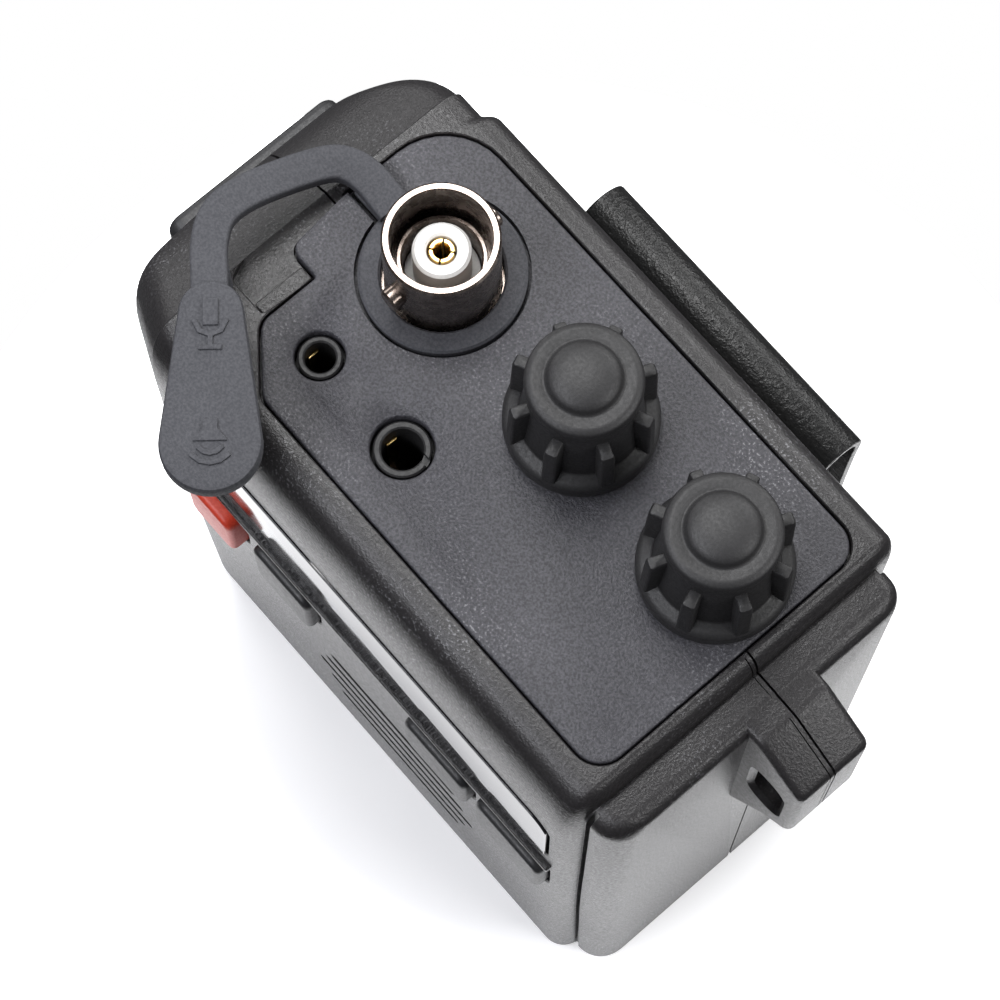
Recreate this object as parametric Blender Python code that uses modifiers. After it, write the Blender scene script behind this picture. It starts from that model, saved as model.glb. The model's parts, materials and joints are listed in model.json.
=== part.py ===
"""Handheld two-way radio, seen with its antenna and lower pack off.

One object per real piece. +Z is up, -Y is the display side, +X is the side with the strap eye,
and the origin is the middle of the base. Sizes are written in millimetres and scaled once.
"""

import math

import bmesh
import bpy
from mathutils import Matrix, Vector

MM = 0.001
GAP = 0.3                       # clearance between neighbouring pieces

# Case
HEIGHT = 72.0                   # base to the control panel
FRONT_Y, BACK_Y = -18.0, 17.2
LEFT_X, RIGHT_X = -35.0, 30.0
WALL = 1.8
FLOOR = 2.0
PARTING_Y = 1.8                 # the two case halves meet here
DECK_LOW, DECK_TOP = 67.5, 70.2  # shelf that carries the control panel
NARROW_LOW = 60.5               # above this the cavity keeps clear of the sloping left shoulder
SHOULDER_X = -25.7              # where the top starts to slope down to the left side
FLANGE_X, FLANGE_Z = 26.6, 69.6  # lower ledge along the right side

# Case outline in plan: x, y, corner radius, counter-clockwise from the front right
CASE_CORNERS = [
    (FLANGE_X, FRONT_Y, 1.8), (FLANGE_X + 0.4, -15.4, 0.3), (RIGHT_X, -15.4, 2.0),
    (RIGHT_X, 15.3, 2.0), (FLANGE_X + 0.4, 15.3, 0.3), (FLANGE_X, BACK_Y, 1.5),
    (-31.0, BACK_Y, 5.0), (LEFT_X, 10.5, 4.0), (-34.5, -6.0, 6.0), (-33.2, -14.6, 2.5),
    (-25.5, FRONT_Y, 5.0),
]

# Control panel outline in plan
PANEL_CORNERS = [
    (24.95, -13.7, 2.5), (24.95, 14.4, 2.5), (-25.0, 14.4, 6.0), (-25.0, 2.6, 0.4),
    (-24.3, -3.7, 1.2), (-21.0, -3.7, 0.4), (-21.0, -9.6, 2.0), (-15.9, -13.7, 2.0),
]

# Antenna socket
BNC_XY = (-14.45, 4.3)
BNC_R, BNC_BORE_R, BNC_RISE = 4.8, 4.05, 8.1
RING_R, RING_HOLE_R, RING_THICK = 7.0, 5.1, 1.0

# Jacks: centre x, collar radius, bore radius, half width of the body, bore depth
JACK_Y = -7.8
JACKS = {"mic_jack": (-15.6, 1.82, 1.3, 3.0, 11.0), "speaker_jack": (-5.35, 2.35, 1.75, 3.2, 12.0)}
JACK_LOW = 57.0

# Rotary controls
CONTROL_Y = 4.3
CONTROLS = {"volume": 2.55, "squelch": 18.5}
KNOB_BASE, KNOB_TOP = 72.6, 85.1
SKIRT_R, CAP_R, RIB_COUNT = 6.35, 4.7, 8
SHAFT_R, BUSHING_R = 2.0, 3.2

# Keys on the front: name, left x, right x, y of the face
KEYS = [
    ("red_key", -22.5, -16.3, -19.6), ("left_key", -14.0, -6.3, -19.1),
    ("middle_key", 6.5, 14.7, -19.1), ("right_key", 16.0, 24.5, -19.1),
]
KEY_LOW, KEY_HIGH = 37.0, 45.0

# Display
WINDOW = (-23.5, 24.2, 47.0, 61.0)   # left, right, low, high
WINDOW_FACE_Y = -18.2

# Talk bar on the left side
TALK_Y = (-8.5, 10.0)
TALK_Z = (31.0, 62.3)
TALK_X = (-36.1, -33.6)

# Strap eye on the right side
EYE_Y = (-2.0, 5.6)
EYE_OUTLINE = [
    (29.0, 69.3, 0.0), (31.0, 69.0, 1.0), (36.4, 65.6, 1.5), (36.4, 52.6, 1.8),
    (34.2, 50.2, 1.5), (29.0, 41.0, 0.0),
]
EYE_SLOT = [(31.5, 54.0, 1.2), (34.6, 54.0, 1.2), (34.6, 61.5, 1.2), (31.5, 61.5, 1.2)]

# Cells
CELL_R, CELL_LENGTH, CELL_PITCH = 7.25, 50.5, 15.0
CELL_FIRST_X, CELL_Y, CELL_LOW = -24.6, 7.8, 2.4
DOOR_THICK, DOOR_FRONT_Y = 1.8, PARTING_Y + GAP

# Belt clip
CLIP_X = (-14.3, 16.2)
CLIP_PIN = (21.7, 57.5)         # y, z
CLIP_ROLL_R, CLIP_SHEET = 2.7, 0.8
CLIP_TAIL = [(24.0, 52.0), (23.2, 30.0), (22.3, 11.0), (23.6, 7.5)]   # y, z along the sheet
PIN_R = 0.7

# Jack cover
COVER_AXIS = (-23.4, 4.9)
COVER_SWING = math.radians(36.5)
STRAP_PATH = [                   # x, y, z along the middle of the strap
    (-23.4, 4.9, 72.9), (-26.2, 3.9, 73.2), (-28.1, -0.6, 74.8),
    (-29.0, -4.6, 76.0), (-28.0, -8.2, 76.9), (-23.0, -12.4, 77.3),
]
STRAP_WIDE, STRAP_THICK = 3.0, 1.3
PADDLE_START, PADDLE_END = (-22.3, -13.0), (-14.0, -19.9)
PADDLE_R_START, PADDLE_R_END = 2.6, 4.1
PADDLE_Z = (76.4, 78.4)

# Screws in the upper corners of the back
CASE_SCREW_X, CASE_SCREW_Z = (-22.3, 22.3), 61.3
CLIP_SCREW_X, CLIP_SCREW_Z = -2.1, (43.0, 52.0)


# ---------------------------------------------------------------- scene and materials

def clear_scene():
    for item in list(bpy.data.objects):
        bpy.data.objects.remove(item, do_unlink=True)


def make_collection(name):
    collection = bpy.data.collections.new(name)
    bpy.context.scene.collection.children.link(collection)
    return collection


def make_material(name, colour, roughness, metallic=0.0):
    material = bpy.data.materials.new(name)
    material.use_nodes = True
    shader = material.node_tree.nodes["Principled BSDF"]
    shader.inputs["Base Color"].default_value = (*colour, 1.0)
    shader.inputs["Roughness"].default_value = roughness
    shader.inputs["Metallic"].default_value = metallic
    return material


clear_scene()
RADIO = make_collection("two_way_radio")
CUTTERS = make_collection("cutters")

CASE_PLASTIC = make_material("case_plastic", (0.035, 0.034, 0.036), 0.45)
PANEL_PLASTIC = make_material("panel_plastic", (0.055, 0.055, 0.062), 0.6)
KNOB_PLASTIC = make_material("knob_plastic", (0.03, 0.03, 0.032), 0.7)
RUBBER = make_material("rubber", (0.06, 0.06, 0.065), 0.8)
RED_RUBBER = make_material("red_rubber", (0.75, 0.05, 0.02), 0.45)
KEY_RUBBER = make_material("key_rubber", (0.02, 0.02, 0.022), 0.5)
NICKEL = make_material("nickel", (0.6, 0.57, 0.52), 0.25, 1.0)
GOLD = make_material("gold", (0.75, 0.52, 0.2), 0.3, 1.0)
WHITE_PLASTIC = make_material("white_plastic", (0.85, 0.85, 0.83), 0.4)
BLACK_PAINT = make_material("black_paint", (0.01, 0.01, 0.01), 0.3)
STEEL = make_material("steel", (0.5, 0.5, 0.5), 0.35, 1.0)
WINDOW_PLASTIC = make_material("window_plastic", (0.02, 0.02, 0.025), 0.1)
DISPLAY_GLASS = make_material("display_glass", (0.3, 0.34, 0.28), 0.2)
BOARD_GREEN = make_material("circuit_board", (0.02, 0.16, 0.06), 0.5)
CELL_WRAP = make_material("cell_wrap", (0.05, 0.2, 0.5), 0.35)
PAPER = make_material("speaker_paper", (0.05, 0.05, 0.05), 0.9)


# ---------------------------------------------------------------- shape helpers

def add_object(name, mesh, material=None):
    """Put a finished mesh in the scene: a named piece, or a cutter when it has no material."""
    item = bpy.data.objects.new(name, mesh)
    if material is None:
        CUTTERS.objects.link(item)
        item.hide_render = True
        item.display_type = "WIRE"
    else:
        RADIO.objects.link(item)
        mesh.materials.clear()
        mesh.materials.append(material)
    return item


def set_origin(item, point):
    """Move the object's origin to a point in millimetres and leave the shape where it is."""
    offset = Vector(point) * MM
    item.data.transform(Matrix.Translation(-offset))
    item.location = offset
    return item


def cut(target, *cutters):
    combine(target, "DIFFERENCE", cutters)
    return target


def join(target, *others):
    combine(target, "UNION", others)
    return target


def combine(target, operation, others):
    for other in others:
        modifier = target.modifiers.new(operation.title(), "BOOLEAN")
        modifier.operation = operation
        modifier.solver = "EXACT"
        modifier.object = other


def box(name, low, high, material=None):
    mesh = bpy.data.meshes.new(name)
    build = bmesh.new()
    bmesh.ops.create_cube(build, size=1.0)
    build.to_mesh(mesh)
    build.free()
    low, high = Vector(low) * MM, Vector(high) * MM
    size = high - low
    mesh.transform(Matrix.Translation((low + high) / 2) @ Matrix.Diagonal((*size, 1.0)))
    return add_object(name, mesh, material)


# Each matrix turns a shape drawn in plan so that its own Z runs along the named axis.
TURN = {
    "Z": Matrix.Identity(4),
    "-Z": Matrix.Rotation(math.pi, 4, "X"),
    "X": Matrix(((0, 0, 1, 0), (1, 0, 0, 0), (0, 1, 0, 0), (0, 0, 0, 1))),
    "Y": Matrix.Rotation(-math.pi / 2, 4, "X"),
    "-Y": Matrix.Rotation(math.pi / 2, 4, "X"),
}


def cylinder(name, centre, radius, length, axis="Z", material=None, sides=24):
    """A cylinder that starts at centre and runs along the axis."""
    mesh = bpy.data.meshes.new(name)
    build = bmesh.new()
    bmesh.ops.create_cone(build, cap_ends=True, segments=sides, radius1=radius * MM,
                          radius2=radius * MM, depth=length * MM)
    build.to_mesh(mesh)
    build.free()
    lift = Matrix.Translation((0, 0, length * MM / 2))
    mesh.transform(Matrix.Translation(Vector(centre) * MM) @ TURN[axis] @ lift)
    return add_object(name, mesh, material)


def rounded(corners, step=math.radians(20.0)):
    """Outline points of a polygon whose corners (x, y, radius) are rounded by arcs."""
    points = []
    for index, (x, y, radius) in enumerate(corners):
        here = Vector((x, y))
        if radius <= 0.0:
            points.append(here)
            continue
        to_last = (Vector(corners[index - 1][:2]) - here).normalized()
        to_next = (Vector(corners[(index + 1) % len(corners)][:2]) - here).normalized()
        half = to_last.angle(to_next) / 2
        bisector = (to_last + to_next).normalized()
        centre = here + bisector * radius / math.sin(half)
        first = here + to_last * radius / math.tan(half) - centre
        last = here + to_next * radius / math.tan(half) - centre
        sweep = -first.angle_signed(last)
        count = max(2, round(abs(sweep) / step))
        for number in range(count + 1):
            arm = first.copy()
            arm.rotate(Matrix.Rotation(sweep * number / count, 2))
            points.append(centre + arm)
    return points


def inset(corners, distance):
    """Corners of the same outline moved inwards; the outline runs counter-clockwise."""
    moved = []
    for index, (x, y, radius) in enumerate(corners):
        here = Vector((x, y))
        inward = (here - Vector(corners[index - 1][:2])).normalized().orthogonal()
        outward_next = (Vector(corners[(index + 1) % len(corners)][:2]) - here).normalized()
        next_normal = outward_next.orthogonal()
        mitre = (inward + next_normal) / (1.0 + inward.dot(next_normal))
        moved.append((*(here + mitre * distance), max(radius - distance, 0.3)))
    return moved


def prism(name, outline, low, high, axis="Z", material=None):
    """A flat outline of (x, y) points given thickness from low to high along the axis."""
    curve = bpy.data.curves.new(name, "CURVE")
    curve.dimensions = "2D"
    curve.fill_mode = "BOTH"
    curve.extrude = (high - low) * MM / 2
    spline = curve.splines.new("POLY")
    spline.points.add(len(outline) - 1)
    for point, (x, y) in zip(spline.points, outline):
        point.co = (x * MM, y * MM, 0.0, 1.0)
    spline.use_cyclic_u = True
    lift = Matrix.Translation((0, 0, (low + high) * MM / 2))
    return curve_to_piece(name, curve, TURN[axis] @ lift, material)


def curve_to_piece(name, curve, matrix, material):
    source = bpy.data.objects.new(name + "_curve", curve)
    bpy.context.scene.collection.objects.link(source)
    graph = bpy.context.evaluated_depsgraph_get()
    mesh = bpy.data.meshes.new_from_object(source.evaluated_get(graph))
    bpy.data.objects.remove(source, do_unlink=True)
    build = bmesh.new()
    build.from_mesh(mesh)
    bmesh.ops.remove_doubles(build, verts=build.verts, dist=0.000001)
    bmesh.ops.recalc_face_normals(build, faces=build.faces)
    build.to_mesh(mesh)
    build.free()
    mesh.transform(matrix)
    return add_object(name, mesh, material)


def tube(name, points, radius, material, detail=2):
    """A round wire or lead through points in millimetres."""
    curve = bpy.data.curves.new(name, "CURVE")
    curve.dimensions = "3D"
    curve.bevel_depth = radius * MM
    curve.bevel_resolution = detail
    curve.use_fill_caps = True
    spline = curve.splines.new("POLY")
    spline.points.add(len(points) - 1)
    for point, place in zip(spline.points, points):
        point.co = (*(Vector(place) * MM), 1.0)
    return curve_to_piece(name, curve, Matrix.Identity(4), material)


def turned(name, profile, centre, axis="Z", material=None, closed=False, steps=24):
    """A turned shape: (radius, height) points run down its outer side, top to bottom."""
    mesh = bpy.data.meshes.new(name)
    build = bmesh.new()
    verts = [build.verts.new((radius * MM, 0.0, height * MM)) for radius, height in profile]
    for first, second in zip(verts, verts[1:] + (verts[:1] if closed else [])):
        build.edges.new((first, second))
    build.to_mesh(mesh)
    build.free()
    item = add_object(name, mesh, material)
    item.matrix_world = Matrix.Translation(Vector(centre) * MM) @ TURN[axis]
    screw = item.modifiers.new("Screw", "SCREW")
    screw.steps = steps
    screw.render_steps = steps
    screw.use_merge_vertices = True
    screw.merge_threshold = 0.00001
    screw.use_smooth_shade = False
    return item


def hexagon(centre, flat_radius):
    corner = flat_radius / math.cos(math.pi / 6)
    angles = [math.radians(60 * number) for number in range(6)]
    return [(centre[0] + corner * math.cos(a), centre[1] + corner * math.sin(a)) for a in angles]


# ---------------------------------------------------------------- case

def shared_case_cutters():
    """Cuts that both case halves take, as whole shapes across the parting plane."""
    slope = [
        (SHOULDER_X, HEIGHT + 1), (SHOULDER_X, 71.4), (-31.8, 67.8), (-34.0, 65.2),
        (-36.5, 62.0), (-40.0, 62.0), (-40.0, HEIGHT + 1),
    ]
    ledge = [(FLANGE_X, HEIGHT + 1), (40.0, HEIGHT + 1), (40.0, FLANGE_Z), (FLANGE_X, FLANGE_Z)]
    inner = rounded(inset(CASE_CORNERS, WALL))
    narrow = rounded([(28.2, -13.6, 1.0), (28.2, 13.5, 1.0), (24.8, 15.4, 1.0),
                      (-28.5, 15.4, 1.0), (-28.5, -16.2, 1.0), (24.8, -16.2, 1.0)])
    panel_seat = rounded(inset(PANEL_CORNERS, -GAP))
    opening = rounded([(23.4, -11.6, 1.5), (23.4, 12.3, 1.5), (-19.4, 12.3, 1.5), (-19.4, -11.6, 1.5)])
    strap_ledge = [(-21.5, -9.2), (-21.5, 2.4), (-26.5, 2.4), (-26.5, -9.2)]
    talk_low = (TALK_X[0] - 1, TALK_Y[0] - GAP, TALK_Z[0] - GAP)
    talk_high = (-31.0, TALK_Y[1] + GAP, TALK_Z[1] + GAP)
    return [
        prism("shoulder_slope", slope, -30, 30, "-Y"),
        prism("right_ledge", ledge, -30, 30, "-Y"),
        prism("case_cavity", inner, FLOOR, NARROW_LOW),
        prism("upper_cavity", narrow, NARROW_LOW - 1, DECK_LOW),
        prism("deck_opening", opening, DECK_LOW - 1, HEIGHT + 1),
        prism("panel_seat", panel_seat, DECK_TOP - GAP, HEIGHT + 1),
        prism("strap_ledge", strap_ledge, HEIGHT - 1, HEIGHT + 1),
        cylinder("socket_room", (*BNC_XY, DECK_LOW - 1), 7.6, 5.0),
        box("talk_bar_window", talk_low, talk_high),
    ]


def case_half(name, cutters, keep):
    half = prism(name, rounded(CASE_CORNERS), 0.0, HEIGHT, material=CASE_PLASTIC)
    half_space = box(name + "_side", (-60, keep[0], -20), (60, keep[1], 100))
    cut(half, *cutters)
    return half, half_space


def strap_eye(name, low_y, high_y):
    """One half of the strap eye; the outline is seen from the front."""
    piece = prism(name, rounded(EYE_OUTLINE), -high_y, -low_y, "-Y")
    return piece


def screw_boss(name, x, low_y, high_y, reach):
    """A post for a case screw, grown into the side wall at reach."""
    side = math.copysign(reach, x)
    inner = x - math.copysign(2.5, x)
    low, high = min(side, inner), max(side, inner)
    return box(name, (low, low_y, CASE_SCREW_Z - 2.2), (high, high_y, CASE_SCREW_Z + 2.2))


def build_case():
    cutters = shared_case_cutters()
    eye_slot = prism("eye_slot", rounded(EYE_SLOT), -20, 20, "-Y")

    front, front_side = case_half("front_shell", cutters, (-60, PARTING_Y - GAP / 2))
    combine(front, "INTERSECT", [front_side])
    join(front, strap_eye("front_eye", EYE_Y[0], PARTING_Y - GAP / 2))
    for x in CASE_SCREW_X:
        join(front, screw_boss(f"front_boss_{x}", x, -8.0, PARTING_Y - GAP / 2, 29.0))
        cut(front, cylinder(f"front_pilot_{x}", (x, -6.5, CASE_SCREW_Z), 1.55, 20, "Y", sides=12))
    cut(front, eye_slot)
    cut_front_openings(front)

    rear, rear_side = case_half("rear_shell", cutters, (PARTING_Y + GAP / 2, 60))
    combine(rear, "INTERSECT", [rear_side])
    join(rear, strap_eye("rear_eye", PARTING_Y + GAP / 2, EYE_Y[1]))
    for x in CASE_SCREW_X:
        join(rear, screw_boss(f"rear_boss_{x}", x, PARTING_Y + GAP / 2, BACK_Y - 1, 26.0))
        cut(rear, cylinder(f"rear_pilot_{x}", (x, 0, CASE_SCREW_Z), 1.55, 30, "Y", sides=12))
        cut(rear, cylinder(f"head_seat_{x}", (x, BACK_Y - 2.1, CASE_SCREW_Z), 2.9, 5, "Y"))
    for z in CLIP_SCREW_Z:
        join(rear, cylinder(f"clip_boss_{z}", (CLIP_SCREW_X, 12.9, z), 2.1, 3.5, "Y", sides=12))
        cut(rear, cylinder(f"clip_pilot_{z}", (CLIP_SCREW_X, 12.0, z), 1.3, 8, "Y", sides=12))
    cut(rear, eye_slot)
    cut(rear, box("door_room", (-60, -1, -1), (60, 30, DOOR_THICK + GAP)))


def cut_front_openings(front):
    left, right, low, high = WINDOW
    depth = FRONT_Y + 1.1
    cut(front, box("window_seat", (left - GAP, -25, low - GAP), (right + GAP, depth, high + GAP)))
    cut(front, box("window_hole", (left + 4, -25, low + 2), (right - 4, -10, high - 2)))
    for name, key_left, key_right, _ in KEYS:
        low_corner = (key_left - GAP, -25, KEY_LOW - GAP)
        cut(front, box(name + "_hole", low_corner, (key_right + GAP, -12, KEY_HIGH + GAP)))
    for number in range(5):
        z = 11.0 + 4.0 * number
        reach = 11.0 - 1.2 * abs(number - 2)
        cut(front, box(f"grille_slot_{number}", (3 - reach, -25, z - 0.7), (3 + reach, -12, z + 0.7)))
    cut(front, cylinder("microphone_hole", (-22.0, -10.0, 27.0), 0.8, 12, "-Y", sides=8))


def build_door():
    """The base plate of the rear half, which slides off backwards to reach the cells."""
    door = prism("battery_door", rounded(CASE_CORNERS), 0.0, DOOR_THICK, material=CASE_PLASTIC)
    cut(door, box("door_front_half", (-60, -60, -1), (60, DOOR_FRONT_Y, 10)))
    cut(door, box("door_finger_groove", (-8, 13.2, -1), (4, 14.6, 0.8)))


# ---------------------------------------------------------------- top controls

def build_panel():
    panel = prism("top_panel", rounded(PANEL_CORNERS), DECK_TOP, HEIGHT, material=PANEL_PLASTIC)
    cut(panel, cylinder("ring_seat", (*BNC_XY, HEIGHT - 1.0), RING_R + GAP, 3.0, sides=32))
    cut(panel, cylinder("socket_hole", (*BNC_XY, 65.0), BNC_R + GAP, 10.0))
    cut(panel, box("strap_notch", (-26.5, 3.1, HEIGHT - 1.0), (BNC_XY[0] - 5.6, 6.1, HEIGHT + 1)))
    for x, collar, _bore, _half, _depth in JACKS.values():
        cut(panel, cylinder(f"jack_hole_{x}", (x, JACK_Y, 65.0), collar + GAP, 10.0))
    for x in CONTROLS.values():
        cut(panel, cylinder(f"bushing_hole_{x}", (x, CONTROL_Y, 65.0), BUSHING_R + GAP, 10.0))


def build_antenna_socket():
    top = HEIGHT + BNC_RISE
    barrel = [
        (BNC_R - 0.2, top), (BNC_R, top - 0.3), (BNC_R, HEIGHT - 1.5), (4.6, HEIGHT - 1.6),
        (4.6, 61.0), (3.4, 61.0), (3.4, HEIGHT), (BNC_BORE_R, HEIGHT), (BNC_BORE_R, top),
    ]
    body = turned("bnc_body", barrel, (*BNC_XY, 0), material=NICKEL, closed=True, steps=32)
    for side, axis in ((1, "Y"), (-1, "-Y")):
        start = (BNC_XY[0], BNC_XY[1] + side * (BNC_R - 0.4), top - 4.5)
        join(body, cylinder(f"bayonet_lug_{axis}", start, 1.0, 1.4, axis, sides=12))
    sleeve = [(2.4, 77.5), (2.4, 72.6), (3.1, 72.6), (3.1, 60.0), (1.4, 60.0), (1.4, 77.5)]
    turned("bnc_insulator", sleeve, (*BNC_XY, 0), material=WHITE_PLASTIC, closed=True)
    pin = [(1.1, 77.2), (1.1, 60.5), (0.5, 60.2), (0.5, 77.2)]
    turned("bnc_contact", pin, (*BNC_XY, 0), material=GOLD, closed=True, steps=16)
    washer = [(6.6, 69.9), (6.6, 69.3), (4.9, 69.3), (4.9, 69.9)]
    turned("bnc_washer", washer, (*BNC_XY, 0), material=NICKEL, closed=True)
    nut = prism("bnc_nut", hexagon(BNC_XY, 6.0), 66.2, 69.0, material=NICKEL)
    cut(nut, cylinder("bnc_nut_bore", (*BNC_XY, 60), 4.9, 12))
    ring_top = HEIGHT + 0.3
    ring = cylinder("seal_ring", (*BNC_XY, ring_top - RING_THICK), RING_R, RING_THICK,
                    material=RUBBER, sides=32)
    tongue = box("ring_tongue", (-24.6, 3.4, ring_top - RING_THICK), (-19.0, 5.8, ring_top - 0.4))
    join(ring, tongue)
    cut(ring, cylinder("ring_bore", (*BNC_XY, 65), RING_HOLE_R, 12))


def build_jacks():
    for name, (x, collar, bore, half, depth) in JACKS.items():
        top = HEIGHT - 0.4
        jack = box(name, (x - half, JACK_Y - 3.0, JACK_LOW), (x + half, JACK_Y + 3.0, 69.9), KEY_RUBBER)
        join(jack, cylinder(name + "_collar", (x, JACK_Y, 66.0), collar, top - 66.0))
        cut(jack, cylinder(name + "_bore", (x, JACK_Y, top - depth), bore, depth + 2))


def build_control(name, x):
    """A potentiometer with its nut and shaft, and the knob on the shaft."""
    centre = (x, CONTROL_Y, 0)
    pot = box(name + "_pot", (x - 4.5, CONTROL_Y - 6, 63.9), (x + 4.5, CONTROL_Y + 6, 69.9), STEEL)
    join(pot, cylinder(name + "_bushing", (x, CONTROL_Y, 66.0), BUSHING_R, 7.9))
    cut(pot, cylinder(name + "_pot_bore", (x, CONTROL_Y, 60.0), SHAFT_R + GAP, 20.0))
    nut = prism(name + "_pot_nut", hexagon(centre, 4.4), HEIGHT + 0.1, 73.6, material=NICKEL)
    cut(nut, cylinder(name + "_nut_bore", (x, CONTROL_Y, 70), BUSHING_R + GAP, 6))

    shaft = cylinder(name + "_shaft", (x, CONTROL_Y, 64.2), SHAFT_R, 17.2, material=STEEL, sides=16)
    set_origin(shaft, (x, CONTROL_Y, KNOB_BASE))

    profile = [
        (0.0, KNOB_TOP), (2.0, KNOB_TOP - 0.4), (2.9, KNOB_TOP - 1.2), (4.2, KNOB_TOP - 1.2),
        (CAP_R, KNOB_TOP - 1.9), (4.5, KNOB_TOP - 2.7), (4.6, 81.0), (5.1, 74.9),
        (SKIRT_R, 74.3), (SKIRT_R, KNOB_BASE), (0.0, KNOB_BASE),
    ]
    knob = turned(name + "_knob", profile, centre, material=KNOB_PLASTIC, steps=32)
    for number in range(RIB_COUNT):
        rib = box(f"{name}_rib_{number}", (4.2, -0.65, 74.0), (6.1, 0.65, 81.0))
        angle = math.radians(360 / RIB_COUNT * (number + 0.5))
        rib.matrix_world = Matrix.Translation(Vector(centre) * MM) @ Matrix.Rotation(angle, 4, "Z")
        join(knob, rib)
    cut(knob, cylinder(name + "_knob_bore", (x, CONTROL_Y, 70), SHAFT_R + GAP, 11.7, sides=16))
    cut(knob, cylinder(name + "_knob_recess", (x, CONTROL_Y, 70), 5.4, 4.2))


def arc_points(centre, radius, start, end, count):
    angles = [start + (end - start) * number / count for number in range(count + 1)]
    return [(centre[0] + radius * math.cos(a), centre[1] + radius * math.sin(a)) for a in angles]


def build_jack_cover():
    """The strap, the paddle on its end and the two stoppers under the paddle."""
    start, end = Vector(PADDLE_START), Vector(PADDLE_END)
    along = end - start
    heading = math.atan2(along.y, along.x)
    lean = math.asin((PADDLE_R_END - PADDLE_R_START) / along.length)
    quarter = math.pi / 2
    outline = arc_points(start, PADDLE_R_START, heading + quarter + lean, heading + 3 * quarter - lean, 8)
    outline += arc_points(end, PADDLE_R_END, heading - quarter - lean, heading + quarter + lean, 12)
    cover = prism("jack_cover", outline, *PADDLE_Z, material=RUBBER)
    join(cover, strap("cover_strap", STRAP_PATH, STRAP_WIDE, STRAP_THICK))
    back_turn = Matrix.Rotation(-COVER_SWING, 2)
    for name, (x, _collar, bore, _half, _depth) in JACKS.items():
        arm = back_turn @ (Vector((x, JACK_Y)) - Vector(COVER_AXIS))
        place = Vector(COVER_AXIS) + arm
        join(cover, cylinder(name + "_stopper", (*place, 73.0), bore - 0.1, 4.0, sides=12))
    set_origin(cover, (*COVER_AXIS, HEIGHT))


def strap(name, path, wide, thick):
    """A flat band along a path: a rectangle swept by a curve, level across its width."""
    section = bpy.data.curves.new(name + "_section", "CURVE")
    section.dimensions = "2D"
    spline = section.splines.new("POLY")
    half = [(-wide / 2, -thick / 2), (wide / 2, -thick / 2), (wide / 2, thick / 2), (-wide / 2, thick / 2)]
    spline.points.add(len(half) - 1)
    for point, (x, y) in zip(spline.points, half):
        point.co = (x * MM, y * MM, 0.0, 1.0)
    spline.use_cyclic_u = True
    section_object = bpy.data.objects.new(name + "_section", section)
    bpy.context.scene.collection.objects.link(section_object)
    curve = bpy.data.curves.new(name, "CURVE")
    curve.dimensions = "3D"
    curve.twist_mode = "Z_UP"
    curve.bevel_mode = "OBJECT"
    curve.bevel_object = section_object
    curve.use_fill_caps = True
    route = curve.splines.new("POLY")
    route.points.add(len(path) - 1)
    for point, place in zip(route.points, path):
        point.co = (*(Vector(place) * MM), 1.0)
    band = curve_to_piece(name, curve, Matrix.Identity(4), None)
    bpy.data.objects.remove(section_object, do_unlink=True)
    return band


# ---------------------------------------------------------------- front and left side

def build_keys():
    box("key_board", (-25.0, -12.8, 34.0), (26.5, -11.6, 46.0), BOARD_GREEN)
    for number, (name, left, right, face_y) in enumerate(KEYS, start=1):
        material = RED_RUBBER if name == "red_key" else KEY_RUBBER
        key = box(name, (left, face_y, KEY_LOW), (right, -15.6, KEY_HIGH), material)
        low = (left, -15.9, KEY_LOW - 0.9)
        join(key, box(name + "_flange", low, (right, -15.2, KEY_HIGH + 0.9)))
        middle, height = (left + right) / 2, (KEY_LOW + KEY_HIGH) / 2
        set_origin(key, (middle, face_y, height))
        low, high = (middle - 2.5, -13.8, height - 2.5), (middle + 2.5, -13.1, height + 2.5)
        switch = box(f"key_switch_{number}", low, high, STEEL)
        join(switch, cylinder(f"key_dome_{number}", (middle, -13.4, height), 1.5, 1.0, "-Y", sides=12))


def build_display():
    left, right, low, high = WINDOW
    window = [
        (left, low, 0.8), (right - 3, low, 0.8), (right, low + 3, 0.8), (right, high, 0.8),
        (left, high, 0.8),
    ]
    window_back = FRONT_Y + 0.8
    prism("display_window", rounded(window), -window_back, -WINDOW_FACE_Y, "-Y", WINDOW_PLASTIC)
    box("lcd_module", (left + 3, -15.8, low + 0.2), (right - 3, -13.2, high), DISPLAY_GLASS)


def build_talk_bar():
    low = (TALK_X[0], TALK_Y[0], TALK_Z[0])
    high = (TALK_X[1], TALK_Y[1], TALK_Z[1])
    bar = box("talk_bar", low, high, KEY_RUBBER)
    join(bar, cylinder("talk_stem", (TALK_X[1] - 0.5, -5.0, 46.5), 1.5, 2.4, "X", sides=12))
    set_origin(bar, (TALK_X[0], 0.0, 46.5))
    box("talk_switch", (-30.6, -7.5, 43.5), (-26.5, -2.4, 49.5), STEEL)


# ---------------------------------------------------------------- inside

def build_electronics():
    box("main_board", (-23.5, -3.6, 3.0), (22.5, -2.0, 58.5), BOARD_GREEN)
    box("rf_shield", (-22.0, -7.2, 40.0), (2.0, -3.9, 55.5), NICKEL)
    box("processor_chip", (6.5, -5.4, 42.0), (18.5, -3.9, 54.0), KEY_RUBBER)
    lead = [
        (-14.45, 4.3, 59.3), (-14.3, 2.6, 59.3), (-13.9, 1.1, 59.2), (-13.5, -0.1, 58.6),
        (-13.2, -0.9, 57.2),
    ]
    tube("antenna_lead", lead, 0.5, KEY_RUBBER)


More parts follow.
